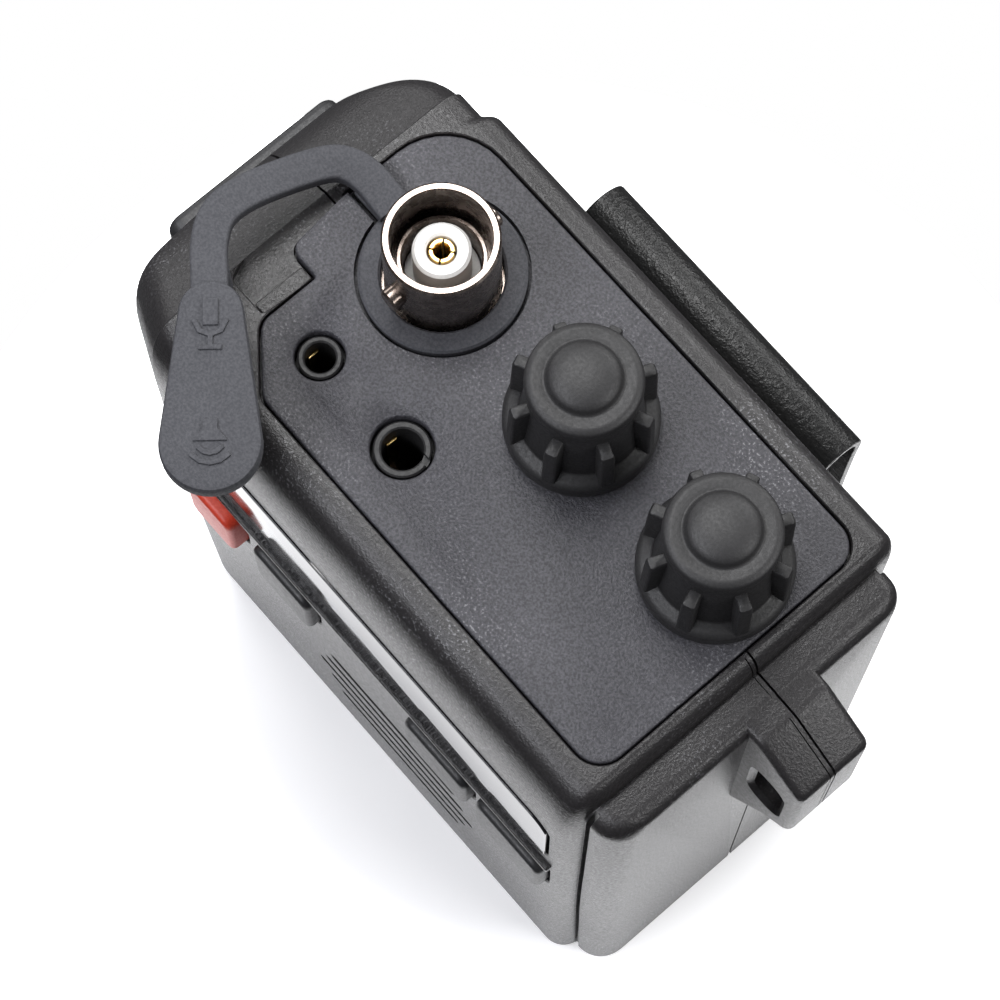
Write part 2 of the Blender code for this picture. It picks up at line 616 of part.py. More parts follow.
def build_speaker():
    centre = (3.0, -15.8, 19.0)
    frame = [(15.0, 0.0), (15.0, -1.2), (12.6, -1.8), (8.8, -6.2), (3.6, -6.2), (3.6, -5.6), (8.2, -5.6),
             (11.9, -1.2), (12.6, 0.0)]
    turned("speaker_frame", frame, centre, "-Y", STEEL, closed=True)
    cone = [(0.0, -2.6), (3.4, -3.4), (11.2, -0.4), (11.2, -0.9), (3.6, -4.1), (0.0, -3.3)]
    turned("speaker_cone", cone, centre, "-Y", PAPER)
    magnet_start = (centre[0], centre[1] + 6.5, centre[2])
    cylinder("speaker_magnet", magnet_start, 8.0, 4.6, "Y", STEEL)
    cylinder("microphone", (-22.0, -15.8, 27.0), 3.0, 2.6, "Y", STEEL, sides=16)


def build_battery():
    high = CELL_LOW + CELL_LENGTH
    spring_low, spring_high = high + 0.6, high + 4.2
    for number in range(4):
        x = CELL_FIRST_X + CELL_PITCH * number
        profile = [
            (0.0, high), (2.6, high), (2.6, high - 1.2), (CELL_R, high - 1.4), (CELL_R, CELL_LOW),
            (0.0, CELL_LOW),
        ]
        turned(f"battery_cell_{number + 1}", profile, (x, CELL_Y, 0), material=CELL_WRAP)
        turns, per_turn = 2.5, 10
        count = int(turns * per_turn)
        coil = []
        for step in range(count + 1):
            angle = 2 * math.pi * step / per_turn
            radius = 3.6 - 1.2 * step / count
            height = spring_low + (spring_high - spring_low) * (1 - step / count)
            coil.append((x + radius * math.cos(angle), CELL_Y + radius * math.sin(angle), height))
        tube(f"battery_spring_{number + 1}", coil, 0.3, NICKEL, detail=1)
    plate_low = spring_high + 0.6
    box("contact_plate", (-22.5, 1.0, plate_low), (25.0, 14.5, plate_low + 0.9), BOARD_GREEN)


# ---------------------------------------------------------------- belt clip and screws

def build_belt_clip():
    clip_outline = sheet_outline()
    clip = prism("belt_clip", clip_outline, *CLIP_X, "X", BLACK_PAINT)
    set_origin(clip, (0.0, *CLIP_PIN))
    y, z = CLIP_PIN
    plate = box("clip_bracket", (-12.5, BACK_Y + 0.3, 38.0), (14.5, BACK_Y + 1.3, 57.0), STEEL)
    ear = [(BACK_Y + 0.6, 49.0), (BACK_Y + 1.6, 49.0), (y + 1.0, z - 1.2), (y + 1.5, z), (y + 1.0, z + 1.2),
           (y, z + 1.5), (y - 1.1, z + 1.1), (y - 1.6, z - 0.6), (BACK_Y + 0.6, z - 0.6)]
    for x in (-12.5, 13.5):
        join(plate, prism(f"bracket_ear_{x}", ear, x, x + 1.0, "X"))
    cut(plate, cylinder("pin_bore", (-20, y, z), PIN_R + GAP, 50, "X", sides=12))
    for place in CLIP_SCREW_Z:
        cut(plate, cylinder(f"bracket_hole_{place}", (CLIP_SCREW_X, 10, place), 1.5, 20, "Y", sides=12))
    cylinder("clip_pin", (-13.9, y, z), PIN_R, 29.7, "X", STEEL, sides=12)
    turns, per_turn = 5, 10
    coil = []
    for step in range(turns * per_turn + 1):
        angle = 2 * math.pi * step / per_turn
        along = -2.0 + 6.0 * step / (turns * per_turn)
        coil.append((along, y + 1.35 * math.cos(angle), z + 1.35 * math.sin(angle)))
    tube("clip_spring", coil, 0.25, STEEL, detail=1)


def sheet_outline():
    """Side view of the clip: rolled over the pin, then down the back, as a closed thin outline."""
    y, z = CLIP_PIN
    inner_r = CLIP_ROLL_R - CLIP_SHEET
    outer = arc_points(CLIP_PIN, CLIP_ROLL_R, math.radians(150), 0.0, 10)
    inner = arc_points(CLIP_PIN, inner_r, math.radians(150), 0.0, 8)
    outer += CLIP_TAIL
    inner += [(tail_y - CLIP_SHEET, tail_z) for tail_y, tail_z in CLIP_TAIL]
    return outer + inner[::-1]


def build_screws():
    for number, x in enumerate(CASE_SCREW_X, start=1):
        head = BACK_Y - 0.2
        screw = cylinder(f"case_screw_{number}", (x, head, CASE_SCREW_Z), 2.5, 1.5, "-Y", STEEL)
        shank = cylinder(f"case_shank_{number}", (x, head - 1, CASE_SCREW_Z), 1.25, 20.0, "-Y", sides=12)
        join(screw, shank)
        low, high = CASE_SCREW_Z - 0.3, CASE_SCREW_Z + 0.3
        slot = box(f"case_drive_{number}", (x - 1.6, head - 0.7, low), (x + 1.6, head + 1, high))
        cut(screw, slot)
    for number, z in enumerate(CLIP_SCREW_Z, start=1):
        head = BACK_Y + 1.6
        screw = cylinder(f"clip_screw_{number}", (CLIP_SCREW_X, head, z), 2.3, 1.2, "Y", STEEL)
        shank = cylinder(f"clip_shank_{number}", (CLIP_SCREW_X, head + 0.5, z), 1.0, 5.6, "-Y", sides=12)
        join(screw, shank)


build_case()
build_door()
build_panel()
build_antenna_socket()
build_jacks()
for control_name, control_x in CONTROLS.items():
    build_control(control_name, control_x)
build_jack_cover()
build_keys()
build_display()
build_talk_bar()
build_electronics()
build_speaker()
build_battery()
build_belt_clip()
build_screws()
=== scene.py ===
"""Looks of the handheld two-way radio: fine meshes, materials, light and camera.

Sizes are in millimetres in the radio's own frame (+Z up, -Y display side, +X strap eye side), and
are scaled to metres when a mesh is made. Places come from the CAD nodes' boxes where a node has
them. Profiles of turned pieces are (radius, height), and outline corners are (x, y, radius).
"""

import json
import math

import bmesh
import bpy
from mathutils import Matrix, Vector


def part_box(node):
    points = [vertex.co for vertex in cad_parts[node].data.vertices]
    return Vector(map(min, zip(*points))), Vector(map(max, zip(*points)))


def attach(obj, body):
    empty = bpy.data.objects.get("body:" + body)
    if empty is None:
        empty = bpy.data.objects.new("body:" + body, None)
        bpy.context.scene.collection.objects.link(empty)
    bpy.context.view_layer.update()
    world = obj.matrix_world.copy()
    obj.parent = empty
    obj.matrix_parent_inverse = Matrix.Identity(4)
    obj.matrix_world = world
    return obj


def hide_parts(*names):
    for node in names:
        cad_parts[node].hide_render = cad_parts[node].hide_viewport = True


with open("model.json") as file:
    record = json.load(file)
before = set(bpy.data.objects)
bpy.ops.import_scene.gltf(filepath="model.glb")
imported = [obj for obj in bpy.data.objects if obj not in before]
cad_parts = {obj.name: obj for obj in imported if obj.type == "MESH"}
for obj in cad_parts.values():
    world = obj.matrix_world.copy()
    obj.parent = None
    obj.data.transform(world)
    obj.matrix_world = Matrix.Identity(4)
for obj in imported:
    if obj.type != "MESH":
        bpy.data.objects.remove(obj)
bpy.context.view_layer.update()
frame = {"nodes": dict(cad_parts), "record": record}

MM = 0.001
SEAM = 0.1                      # half the line between the two case halves
FRONT_DRAFT = 0.7               # how far the front wall leans back at the base
FRONT_LEAN = ((0.9, 1.0), (15.0, 0.5), (27.0, 0.12), (36.0, 0.0))    # height, share of the draft
BASE_TOE = 0.8                  # how far the walls draw in at the very base
EDGE_STEPS = 10                 # points along a quarter-round edge
FAR = 70                        # beyond any wall, for cutters


def node_box(name):
    """A CAD node's lowest and highest corner in millimetres."""
    low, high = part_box(name)
    return low / MM, high / MM


def node_middle(name):
    low, high = node_box(name)
    return (low + high) / 2


PANEL_LOW, PANEL_HIGH = node_box("top_panel")
TOP = PANEL_HIGH.z
FRONT_LOW, FRONT_HIGH = node_box("front_shell")
REAR_LOW, REAR_HIGH = node_box("rear_shell")
FRONT_Y, BACK_Y = FRONT_LOW.y, REAR_HIGH.y
PARTING_Y = (FRONT_HIGH.y + REAR_LOW.y) / 2
LEFT_X, EYE_X = REAR_LOW.x, FRONT_HIGH.x
RIGHT_X, STEP_X = 30.0, 26.6    # right wall, and the step down to the lower flange
FLANGE_TOP = 69.6
RIDGE_X, RIDGE_Z = -26.2, 71.2  # where the left shoulder's slope ends, and the height there
PANEL_EDGE_X = -25.9            # where the top reaches its full height
STEP_ROUND, STEP_DROP = 1.3, 2.4    # width and fall of the rounding above the step
FLANGE_ROUND = 1.5              # rounding of the flange's outer edge
KEYS = ("red_key", "left_key", "middle_key", "right_key")
KNOB_RIBS = 8
BNC = node_middle("bnc_body")
JACK_Y = node_middle("mic_jack").y

# Outlines in plan, counter-clockwise
CASE = [
    (STEP_X, FRONT_Y, 2.2), (STEP_X, BACK_Y, 1.5), (-22.4, BACK_Y, 1.0), (-23.2, 16.2, 0.6),
    (-30.0, 16.2, 6.5), (LEFT_X, 10.0, 5.0), (-34.5, -6.0, 6.0), (-33.2, -14.6, 2.5),
    (-25.5, FRONT_Y, 5.0),
]
FLANGE = [(20.0, -16.2, 0.1), (RIGHT_X, -16.2, 2.8), (RIGHT_X, 15.3, 2.2), (20.0, 15.3, 0.1)]
PANEL = [
    (24.95, -13.7, 2.5), (24.95, 14.4, 2.5), (-25.0, 14.4, 6.0), (-25.0, 2.6, 0.4),
    (-24.3, -3.7, 1.2), (-21.0, -3.7, 0.4), (-21.0, -9.6, 2.0), (-15.9, -13.7, 2.0),
]
# Outline of the strap eye, seen from the front: x, z, corner radius
EYE = [
    (28.0, 69.4, 0.1), (31.2, 69.15, 2.0), (EYE_X, 65.7, 1.4), (EYE_X, 52.6, 2.0),
    (33.9, 49.8, 2.5), (28.0, 40.0, 0.1),
]
LIP_Y = PARTING_Y - 0.5         # a fine second line in front of the parting seam

# Jack cover: pivot, turn back from the place over the jacks, and the paddle's two round ends
COVER_AXIS, COVER_SWING = Vector((-23.4, 4.9)), math.radians(-36.5)
PADDLE_START, PADDLE_END = Vector((-22.3, -13.0)), Vector((-14.0, -19.9))
PADDLE_SMALL_R, PADDLE_LARGE_R = 2.6, 4.1
PADDLE_LOW, PADDLE_TOP = 76.4, 78.4
ALONG = (PADDLE_END - PADDLE_START).normalized()
ACROSS = Vector((-ALONG.y, ALONG.x))
PADDLE_LENGTH = (PADDLE_END - PADDLE_START).length


# ---------------------------------------------------------------- outlines and meshes

def rounded(corners, steps=8):
    """Points of an outline whose corners are arcs of the same number of steps."""
    points = []
    for index, (x, y, radius) in enumerate(corners):
        here = Vector((x, y))
        to_last = (Vector(corners[index - 1][:2]) - here).normalized()
        to_next = (Vector(corners[(index + 1) % len(corners)][:2]) - here).normalized()
        half = to_last.angle(to_next) / 2
        centre = here + (to_last + to_next).normalized() * radius / math.sin(half)
        first = here + to_last * radius / math.tan(half) - centre
        last = here + to_next * radius / math.tan(half) - centre
        sweep = -first.angle_signed(last)
        for number in range(steps + 1):
            arm = first.copy()
            arm.rotate(Matrix.Rotation(sweep * number / steps, 2))
            points.append(centre + arm)
    return points


def inset(corners, distance):
    """The same outline moved inwards, or outwards when distance is negative."""
    area = sum(a[0] * b[1] - b[0] * a[1] for a, b in zip(corners, corners[1:] + corners[:1]))
    side = distance if area > 0 else -distance
    moved = []
    for index, (x, y, radius) in enumerate(corners):
        here = Vector((x, y))
        normal = (here - Vector(corners[index - 1][:2])).normalized().orthogonal()
        next_edge = (Vector(corners[(index + 1) % len(corners)][:2]) - here).normalized()
        next_normal = next_edge.orthogonal()
        mitre = (normal + next_normal) / (1.0 + normal.dot(next_normal))
        moved.append((*(here + mitre * side), max(radius - distance, 0.05)))
    return moved


def catmull(points, per_span=8):
    """A smooth curve through every point."""
    points = [Vector(point) for point in points]
    ends = [points[0] * 2 - points[1]] + points + [points[-1] * 2 - points[-2]]
    curve = []
    for p0, p1, p2, p3 in zip(ends, ends[1:], ends[2:], ends[3:]):
        for step in range(per_span):
            t = step / per_span
            curve.append(0.5 * (2 * p1 + (p2 - p0) * t + (2 * p0 - 5 * p1 + 4 * p2 - p3) * t * t
                                + (3 * p1 - p0 - 3 * p2 + p3) * t ** 3))
    return curve + [points[-1]]


def rectangle(left, low, right, high, radius):
    return [(left, low, radius), (right, low, radius), (right, high, radius), (left, high, radius)]


TURN = {
    "Z": Matrix.Identity(4),
    "X": Matrix(((0, 0, 1, 0), (1, 0, 0, 0), (0, 1, 0, 0), (0, 0, 0, 1))),
    "-Y": Matrix.Rotation(math.pi / 2, 4, "X"),
    "Y": Matrix.Rotation(-math.pi / 2, 4, "X"),
}


def finish_mesh(name, build, turn=Matrix.Identity(4)):
    """Closes a bmesh drawn in millimetres into an object in metres."""
    bmesh.ops.remove_doubles(build, verts=build.verts, dist=0.002)
    bmesh.ops.dissolve_degenerate(build, dist=0.001, edges=build.edges)
    bmesh.ops.recalc_face_normals(build, faces=build.faces)
    mesh = bpy.data.meshes.new(name)
    build.to_mesh(mesh)
    build.free()
    mesh.transform(Matrix.Scale(MM, 4) @ turn)
    item = bpy.data.objects.new(name, mesh)
    bpy.context.scene.collection.objects.link(item)
    return item


def loft(name, rings, turn=Matrix.Identity(4)):
    """A closed solid through rings of the same number of points."""
    build = bmesh.new()
    rows = [[build.verts.new(point) for point in ring] for ring in rings]
    count = len(rows[0])
    for low, high in zip(rows, rows[1:]):
        for index in range(count):
            after = (index + 1) % count
            build.faces.new((low[index], low[after], high[after], high[index]))
    build.faces.new(rows[0][::-1])
    build.faces.new(rows[-1])
    return finish_mesh(name, build, turn)


def plate(name, corners, low, high, axis="Z", edge=0.0, flare=0.0, steps=8, edge_low=0.0):
    """An outline with thickness. edge rounds the high face's rim, edge_low the low one's, and
    flare widens the high face, for a cutter that leaves a chamfer."""
    def ring(distance, level):
        return [(*point, level) for point in rounded(inset(corners, distance), steps)]

    rings = []
    arc = [math.radians(angle) for angle in (0, 22.5, 45, 67.5, 90)]
    if edge_low > 0.0:
        for a in arc:
            rings.append(ring(edge_low * (1 - math.sin(a)), low + edge_low * (1 - math.cos(a))))
    else:
        rings.append(ring(0.0, low))
    if edge > 0.0:
        rings += [ring(edge * (1 - math.cos(a)), high - edge * (1 - math.sin(a))) for a in arc]
    elif flare > 0.0:
        rings += [ring(0.0, high - flare), ring(-flare, high), ring(-flare, high + 3.0)]
    else:
        rings.append(ring(0.0, high))
    return loft(name, rings, TURN[axis])


def turned(name, profile, centre, turn="Z", steps=96):
    """A turned solid: a profile down its outer side, closed on itself when it leaves the axis."""
    build = bmesh.new()
    place = Matrix.Translation(Vector(centre)) @ TURN[turn]
    rows = []
    for radius, height in profile:
        if radius < 1e-6:
            rows.append([build.verts.new(place @ Vector((0, 0, height)))])
            continue
        angles = [2 * math.pi * step / steps for step in range(steps)]
        row = [place @ Vector((radius * math.cos(a), radius * math.sin(a), height)) for a in angles]
        rows.append([build.verts.new(point) for point in row])
    pairs = list(zip(rows, rows[1:]))
    if len(rows[0]) > 1:
        pairs.append((rows[-1], rows[0]))
    for upper, lower in pairs:
        for step in range(steps):
            after = (step + 1) % steps
            corners = [upper[step % len(upper)], upper[after % len(upper)],
                       lower[after % len(lower)], lower[step % len(lower)]]
            build.faces.new(list(dict.fromkeys(corners)))
    return finish_mesh(name, build)


def round_corner(points, radius, steps=5):
    """A profile with each inner corner replaced by a small arc."""
    out = [points[0]]
    for before, here, after in zip(points, points[1:], points[2:]):
        here, before, after = Vector(here), Vector(before), Vector(after)
        reach = min(radius, (before - here).length * 0.45, (after - here).length * 0.45)
        start = here + (before - here).normalized() * reach
        end = here + (after - here).normalized() * reach
        for number in range(steps + 1):
            t = number / steps
            out.append(tuple(start * (1 - t) ** 2 + here * 2 * t * (1 - t) + end * t * t))
    return out + [points[-1]]


def applied(item):
    """Makes the modifiers' result the object's own mesh."""
    graph = bpy.context.evaluated_depsgraph_get()
    mesh = bpy.data.meshes.new_from_object(item.evaluated_get(graph))
    old = item.data
    item.modifiers.clear()
    item.data = mesh
    bpy.data.meshes.remove(old)
    return item


def combine(target, tools, operation):
    for tool in tools:
        modifier = target.modifiers.new("Boolean", "BOOLEAN")
        modifier.operation = operation
        modifier.solver = "MANIFOLD"
        modifier.object = tool
        applied(target)
        bpy.data.objects.remove(tool, do_unlink=True)
    return target


def cut(target, *tools):
    return combine(target, tools, "DIFFERENCE")


def join(target, *tools):
    return combine(target, tools, "UNION")


def keep(target, tool):
    return combine(target, [tool], "INTERSECT")


def soften(item, width, segments=3, angle=30.0):
    """Rounds the sharp edges."""
    bevel = item.modifiers.new("Bevel", "BEVEL")
    bevel.width = width * MM
    bevel.segments = segments
    bevel.limit_method = "ANGLE"
    bevel.angle_limit = math.radians(angle)
    return applied(item)


def shade(item, angle=32.0):
    item.data.shade_smooth()
    item.data.set_sharp_from_angle(angle=math.radians(angle))
    return item


def box(name, low, high, radius=0.0):
    """A box whose edges are rounded."""
    left, front, bottom = low
    right, back, top = high
    edge = max(radius, 0.02)
    corners = rectangle(left, front, right, back, edge)
    return plate(name, corners, bottom, top, edge=radius, edge_low=radius, steps=5 if radius else 1)


def rod(name, centre, radius, length, turn="Z", steps=48, edge=0.0):
    profile = [(0, length), (radius - edge, length), (radius, length - edge), (radius, 0), (0, 0)]
    return turned(name, profile, centre, turn, steps)


# ---------------------------------------------------------------- materials

def shader_material(name, colour, roughness, metallic=0.0, specular=0.5, coat=0.0):
    material = bpy.data.materials.new(name)
    material.use_nodes = True
    shader = material.node_tree.nodes["Principled BSDF"]
    shader.inputs["Base Color"].default_value = (*colour, 1.0)
    shader.inputs["Roughness"].default_value = roughness
    shader.inputs["Metallic"].default_value = metallic
    shader.inputs["Specular IOR Level"].default_value = specular
    shader.inputs["Coat Weight"].default_value = coat
    return material, material.node_tree, shader


def node(tree, kind, **values):
    made = tree.nodes.new(kind)
    for key, value in values.items():
        if key in made.inputs:
            made.inputs[key].default_value = value
        else:
            setattr(made, key, value)
    return made


def coordinates(tree, stretch=(1, 1, 1)):
    """The object's own coordinates, which are metres from the radio's origin."""
    place = node(tree, "ShaderNodeTexCoord")
    scale = node(tree, "ShaderNodeMapping")
    scale.inputs["Scale"].default_value = stretch
    tree.links.new(place.outputs["Object"], scale.inputs["Vector"])
    return scale.outputs["Vector"]


def noise(tree, vector, per_mm, detail=2.0, rough=0.5):
    made = node(tree, "ShaderNodeTexNoise", Scale=per_mm / MM, Detail=detail, Roughness=rough)
    tree.links.new(vector, made.inputs["Vector"])
    return made.outputs["Fac"]


def spread(tree, value, low, high, from_low=0.3, from_high=0.7):
    """Stretches a value to run from low to high. Most noise lies between 0.3 and 0.7."""
    made = node(tree, "ShaderNodeMapRange")
    made.inputs["From Min"].default_value = from_low
    made.inputs["From Max"].default_value = from_high
    made.inputs["To Min"].default_value = low
    made.inputs["To Max"].default_value = high
    tree.links.new(value, made.inputs["Value"])
    return made.outputs["Result"]


def tint(tree, shader, value, dark, light):
    """Colours the surface between two tones by a value from 0 to 1."""
    ramp = node(tree, "ShaderNodeValToRGB")
    ramp.color_ramp.elements[0].color = (*dark, 1.0)
    ramp.color_ramp.elements[1].color = (*light, 1.0)
    tree.links.new(value, ramp.inputs["Fac"])
    tree.links.new(ramp.outputs["Color"], shader.inputs["Base Color"])
    return ramp


def relief(tree, shader, layers):
    """Stacks bump layers of (height value, depth in mm)."""
    normal = None
    for value, depth in layers:
        bump = node(tree, "ShaderNodeBump")
        bump.inputs["Strength"].default_value = 1.0
        bump.inputs["Distance"].default_value = depth * MM
        tree.links.new(value, bump.inputs["Height"])
        if normal is not None:
            tree.links.new(normal, bump.inputs["Normal"])
        normal = bump.outputs["Normal"]
    tree.links.new(normal, shader.inputs["Normal"])


def moulded(name, dark, light, rough_low, rough_high, grain_per_mm, grain_depth, painted_glint=0.0,
            specular=0.5, coat=0.0):
    """Moulded plastic or rubber: a spark-eroded grain in the bump, whose tops are smoother and
    painted paler and whose hollows are painted darker, painted light and shade, and a slow random
    change of tone. grain_depth is in mm, and painted_glint is how pale the brightest specks are
    painted, a painted highlight."""
    material, tree, shader = shader_material(name, dark, rough_low, specular=specular, coat=coat)
    vector = coordinates(tree)
    grain = noise(tree, vector, grain_per_mm, 2.5, 0.6)
    slow = noise(tree, vector, 0.1, 3.0)
    # painted light and shade: the grain's tops are coloured lighter and its hollows darker, plus a
    # slow random tone
    painted_grain_light_and_tone = node(tree, "ShaderNodeMath", operation="MULTIPLY_ADD")
    painted_grain_light_and_tone.inputs[1].default_value = 0.75
    tree.links.new(spread(tree, grain, 0.0, 1.0, 0.38, 0.64), painted_grain_light_and_tone.inputs[0])
    tree.links.new(spread(tree, slow, 0.0, 0.25), painted_grain_light_and_tone.inputs[2])
    ramp = tint(tree, shader, painted_grain_light_and_tone.outputs[0], dark, light)
    # painted highlight: the highest grain specks are coloured pale grey
    if painted_glint > 0.0:
        top = ramp.color_ramp.elements.new(0.86)
        top.color = (*light, 1.0)
        ramp.color_ramp.elements[-1].color = (painted_glint, painted_glint, painted_glint * 1.06, 1.0)
    tree.links.new(spread(tree, grain, rough_high, rough_low), shader.inputs["Roughness"])
    fine = noise(tree, vector, grain_per_mm * 2.7, 2.0)
    relief(tree, shader, [(grain, grain_depth), (fine, grain_depth * 0.3)])
    return material


def plated(name, dark, light, rough_low, rough_high, stretch=1.0):
    """Bare or plated metal with handling marks, which stretch draws out along Z, and tarnish."""
    material, tree, shader = shader_material(name, light, rough_low, metallic=1.0)
    vector = coordinates(tree, (1, 1, stretch))
    marks = noise(tree, vector, 0.9, 6.0, 0.65)
    fine = noise(tree, vector, 7.0, 3.0)
    tint(tree, shader, spread(tree, marks, 0.0, 1.0, 0.35, 0.62), dark, light)
    tree.links.new(spread(tree, marks, rough_low, rough_high), shader.inputs["Roughness"])
    relief(tree, shader, [(fine, 0.003)])
    return material


def glossy_window(name):
    """Dark polished plastic with faint smears and a slight waviness."""
    material, tree, shader = shader_material(name, (0.012, 0.012, 0.015), 0.05, specular=0.6,
                                             coat=0.2)
    shader.inputs["Coat Roughness"].default_value = 0.03
    vector = coordinates(tree)
    smear = noise(tree, vector, 0.25, 4.0, 0.6)
    tree.links.new(spread(tree, smear, 0.04, 0.12), shader.inputs["Roughness"])
    relief(tree, shader, [(noise(tree, vector, 0.05, 1.0), 0.02)])
    return material


# Every moulded material paints its grain's tops lighter and its hollows darker, painted light and
# shade; the last number of case_plastic and panel_plastic is a painted highlight on the highest
# specks.
MATERIALS = {
    "case_plastic": moulded("case_satin", (0.011, 0.0100, 0.0105), (0.023, 0.0215, 0.0225),
                            0.28, 0.46, 4.2, 0.060, 0.14),
    "panel_plastic": moulded("panel_grain", (0.023, 0.0228, 0.027), (0.056, 0.055, 0.064),
                             0.40, 0.60, 4.4, 0.09, 0.17),
    "knob_plastic": moulded("knob_matte", (0.010, 0.0098, 0.0102), (0.019, 0.0185, 0.0195),
                            0.48, 0.6, 4.0, 0.02),
    "rubber": moulded("grey_rubber", (0.043, 0.044, 0.050), (0.066, 0.067, 0.075),
                      0.62, 0.8, 4.5, 0.04, specular=0.35),
    "red_rubber": moulded("red_key_rubber", (0.50, 0.035, 0.014), (0.60, 0.055, 0.022),
                          0.4, 0.5, 4.0, 0.01),
    "key_rubber": moulded("black_key_rubber", (0.012, 0.012, 0.013), (0.024, 0.024, 0.026),
                          0.4, 0.55, 4.0, 0.01),
    "nickel": plated("warm_nickel", (0.22, 0.175, 0.150), (0.38, 0.325, 0.290), 0.20, 0.34),
    "gold": plated("gold_plate", (0.72, 0.46, 0.14), (0.95, 0.72, 0.34), 0.14, 0.26),
    "white_plastic": moulded("white_insulator", (0.80, 0.80, 0.78), (0.88, 0.88, 0.86),
                             0.35, 0.45, 5.0, 0.003),
    "black_paint": moulded("black_powder_coat", (0.006, 0.006, 0.006), (0.012, 0.012, 0.012),
                           0.24, 0.40, 2.6, 0.10, specular=0.35),
    "steel": plated("zinc_steel", (0.30, 0.30, 0.30), (0.55, 0.55, 0.54), 0.28, 0.42, stretch=0.15),
    "window_plastic": glossy_window("gloss_window"),
    "display_glass": moulded("display_grey_green", (0.20, 0.24, 0.18), (0.26, 0.31, 0.23),
                             0.12, 0.2, 1.0, 0.002),
    "circuit_board": moulded("solder_mask", (0.012, 0.10, 0.035), (0.03, 0.16, 0.06),
                             0.3, 0.5, 0.8, 0.03),
    "cell_wrap": moulded("shrink_sleeve", (0.02, 0.06, 0.22), (0.04, 0.10, 0.32),
                         0.25, 0.35, 0.7, 0.01, coat=0.3),
    "speaker_paper": moulded("pressed_paper", (0.02, 0.02, 0.02), (0.05, 0.048, 0.045),
                             0.8, 0.95, 3.0, 0.04),
}

SLOT_OF = {part["node"]: part["material_slot"] for part in frame["record"]["subparts"]}
BODY_OF = {name: body for body, names in frame["record"]["behaviour"]["bodies"].items()
           for name in names}


def dress_cad_nodes():
    """Every CAD node that stays in view takes its slot's material."""
    for name, item in frame["nodes"].items():
        item.data.materials.clear()
        item.data.materials.append(MATERIALS[SLOT_OF[name]])


def hand_over(piece, replaced, material=None, angle=32.0):
    """Gives a finished piece its shading and material, and lets it stand for a CAD node."""
    slot = material or SLOT_OF[replaced]
    shade(piece, angle)
    piece.data.materials.clear()
    piece.data.materials.append(MATERIALS[slot])
    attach(piece, BODY_OF[replaced])
    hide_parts(replaced)
    return piece


# ---------------------------------------------------------------- case halves

def chain_y(points, x, upper):
    """Where a convex outline's front or back chain is at x."""
    best = None
    for first, second in zip(points, points[1:] + points[:1]):
        low, high = sorted((first.x, second.x))
        if high - low < 1e-9 or not low - 1e-9 <= x <= high + 1e-9:
            continue
        y = first.y + (second.y - first.y) * (x - first.x) / (second.x - first.x)
        best = y if best is None else (max(best, y) if upper else min(best, y))
    return best


def round_edge(radius):
    """How far out and how far down each point of a quarter-round edge lies."""
    angles = [math.radians(90 / EDGE_STEPS * step) for step in range(EDGE_STEPS + 1)]
    return [(radius * math.sin(a), radius * (1 - math.cos(a))) for a in angles]


def crowned_edge():
    """The front edge of the top: a tight arc that eases into a long lean down to the window."""
    radius, reach = 2.6, 3.6
    arc = [math.radians(10 * step) for step in range(6)]
    points = [(radius * math.sin(a), radius * (1 - math.cos(a))) for a in arc]
    start, bend, end = Vector(points[-1]), Vector((reach, 2.9)), Vector((reach, 10.5))
    for step in range(1, 9):
        t = step / 8
        points.append(tuple(start * (1 - t) ** 2 + bend * 2 * t * (1 - t) + end * t * t))
    return points


def swept_block(name, corners, top_at, front_edge, back_edge, extra=(), draft=0.0):
    """A side-to-side loft whose top height follows top_at(x), with the given front and back edges.
    The front wall leans back by the draft from half its height to the base. Near its narrow ends
    the edges, the lean and the toe shrink, so that front and back never cross."""
    outline = rounded(corners, EDGE_STEPS)
    low_x = min(point.x for point in outline) + 0.004
    high_x = max(point.x for point in outline) - 0.004
    stations = sorted({round(x, 3) for x in [point.x for point in outline] + list(extra)})
    stations = [low_x] + [x for x in stations if low_x + 0.03 < x < high_x - 0.03] + [high_x]
    rings = []
    for x in stations:
        front, back, top = chain_y(outline, x, False), chain_y(outline, x, True), top_at(x)
        half = (back - front) * 0.48
        lean, toe = min(draft, half * 0.3), min(BASE_TOE, half * 0.4)
        ring = [(x, front + lean + toe, 0.0), (x, front + lean + toe * 0.25, 0.25)]
        ring += [(x, front + lean * share, height) for height, share in FRONT_LEAN]
        reach = front_edge[-1][0]
        squeeze = min(1.0, half / reach)
        for out, down in front_edge[::-1]:
            ring.append((x, front + (reach - out) * squeeze, top - down))
        reach = back_edge[-1][0]
        squeeze = min(1.0, half / reach)
        for out, down in back_edge:
            ring.append((x, back - (reach - out) * squeeze, top - down))
        ring += [(x, back, 0.9), (x, back - toe * 0.25, 0.25), (x, back - toe, 0.0)]
        rings.append(ring)
    return loft(name, rings)


# The left shoulder's slope, from its foot on the side wall up to the panel's edge: x, z
SHOULDER = catmull([
    (-35.0, 60.8), (-34.8, 62.6), (-34.0, 64.9), (-32.4, 67.0), (-30.2, 68.8), (-28.0, 70.2),
    (RIDGE_X, 71.15),
])


def step_round_off(x, edge_x, width, drop):
    """How far a top falls in the last stretch of the given width before edge_x."""
    share = max(0.0, min(1.0, (x - (edge_x - width)) / width))
    return drop * (1 - math.sqrt(max(0.0, 1 - share * share)))


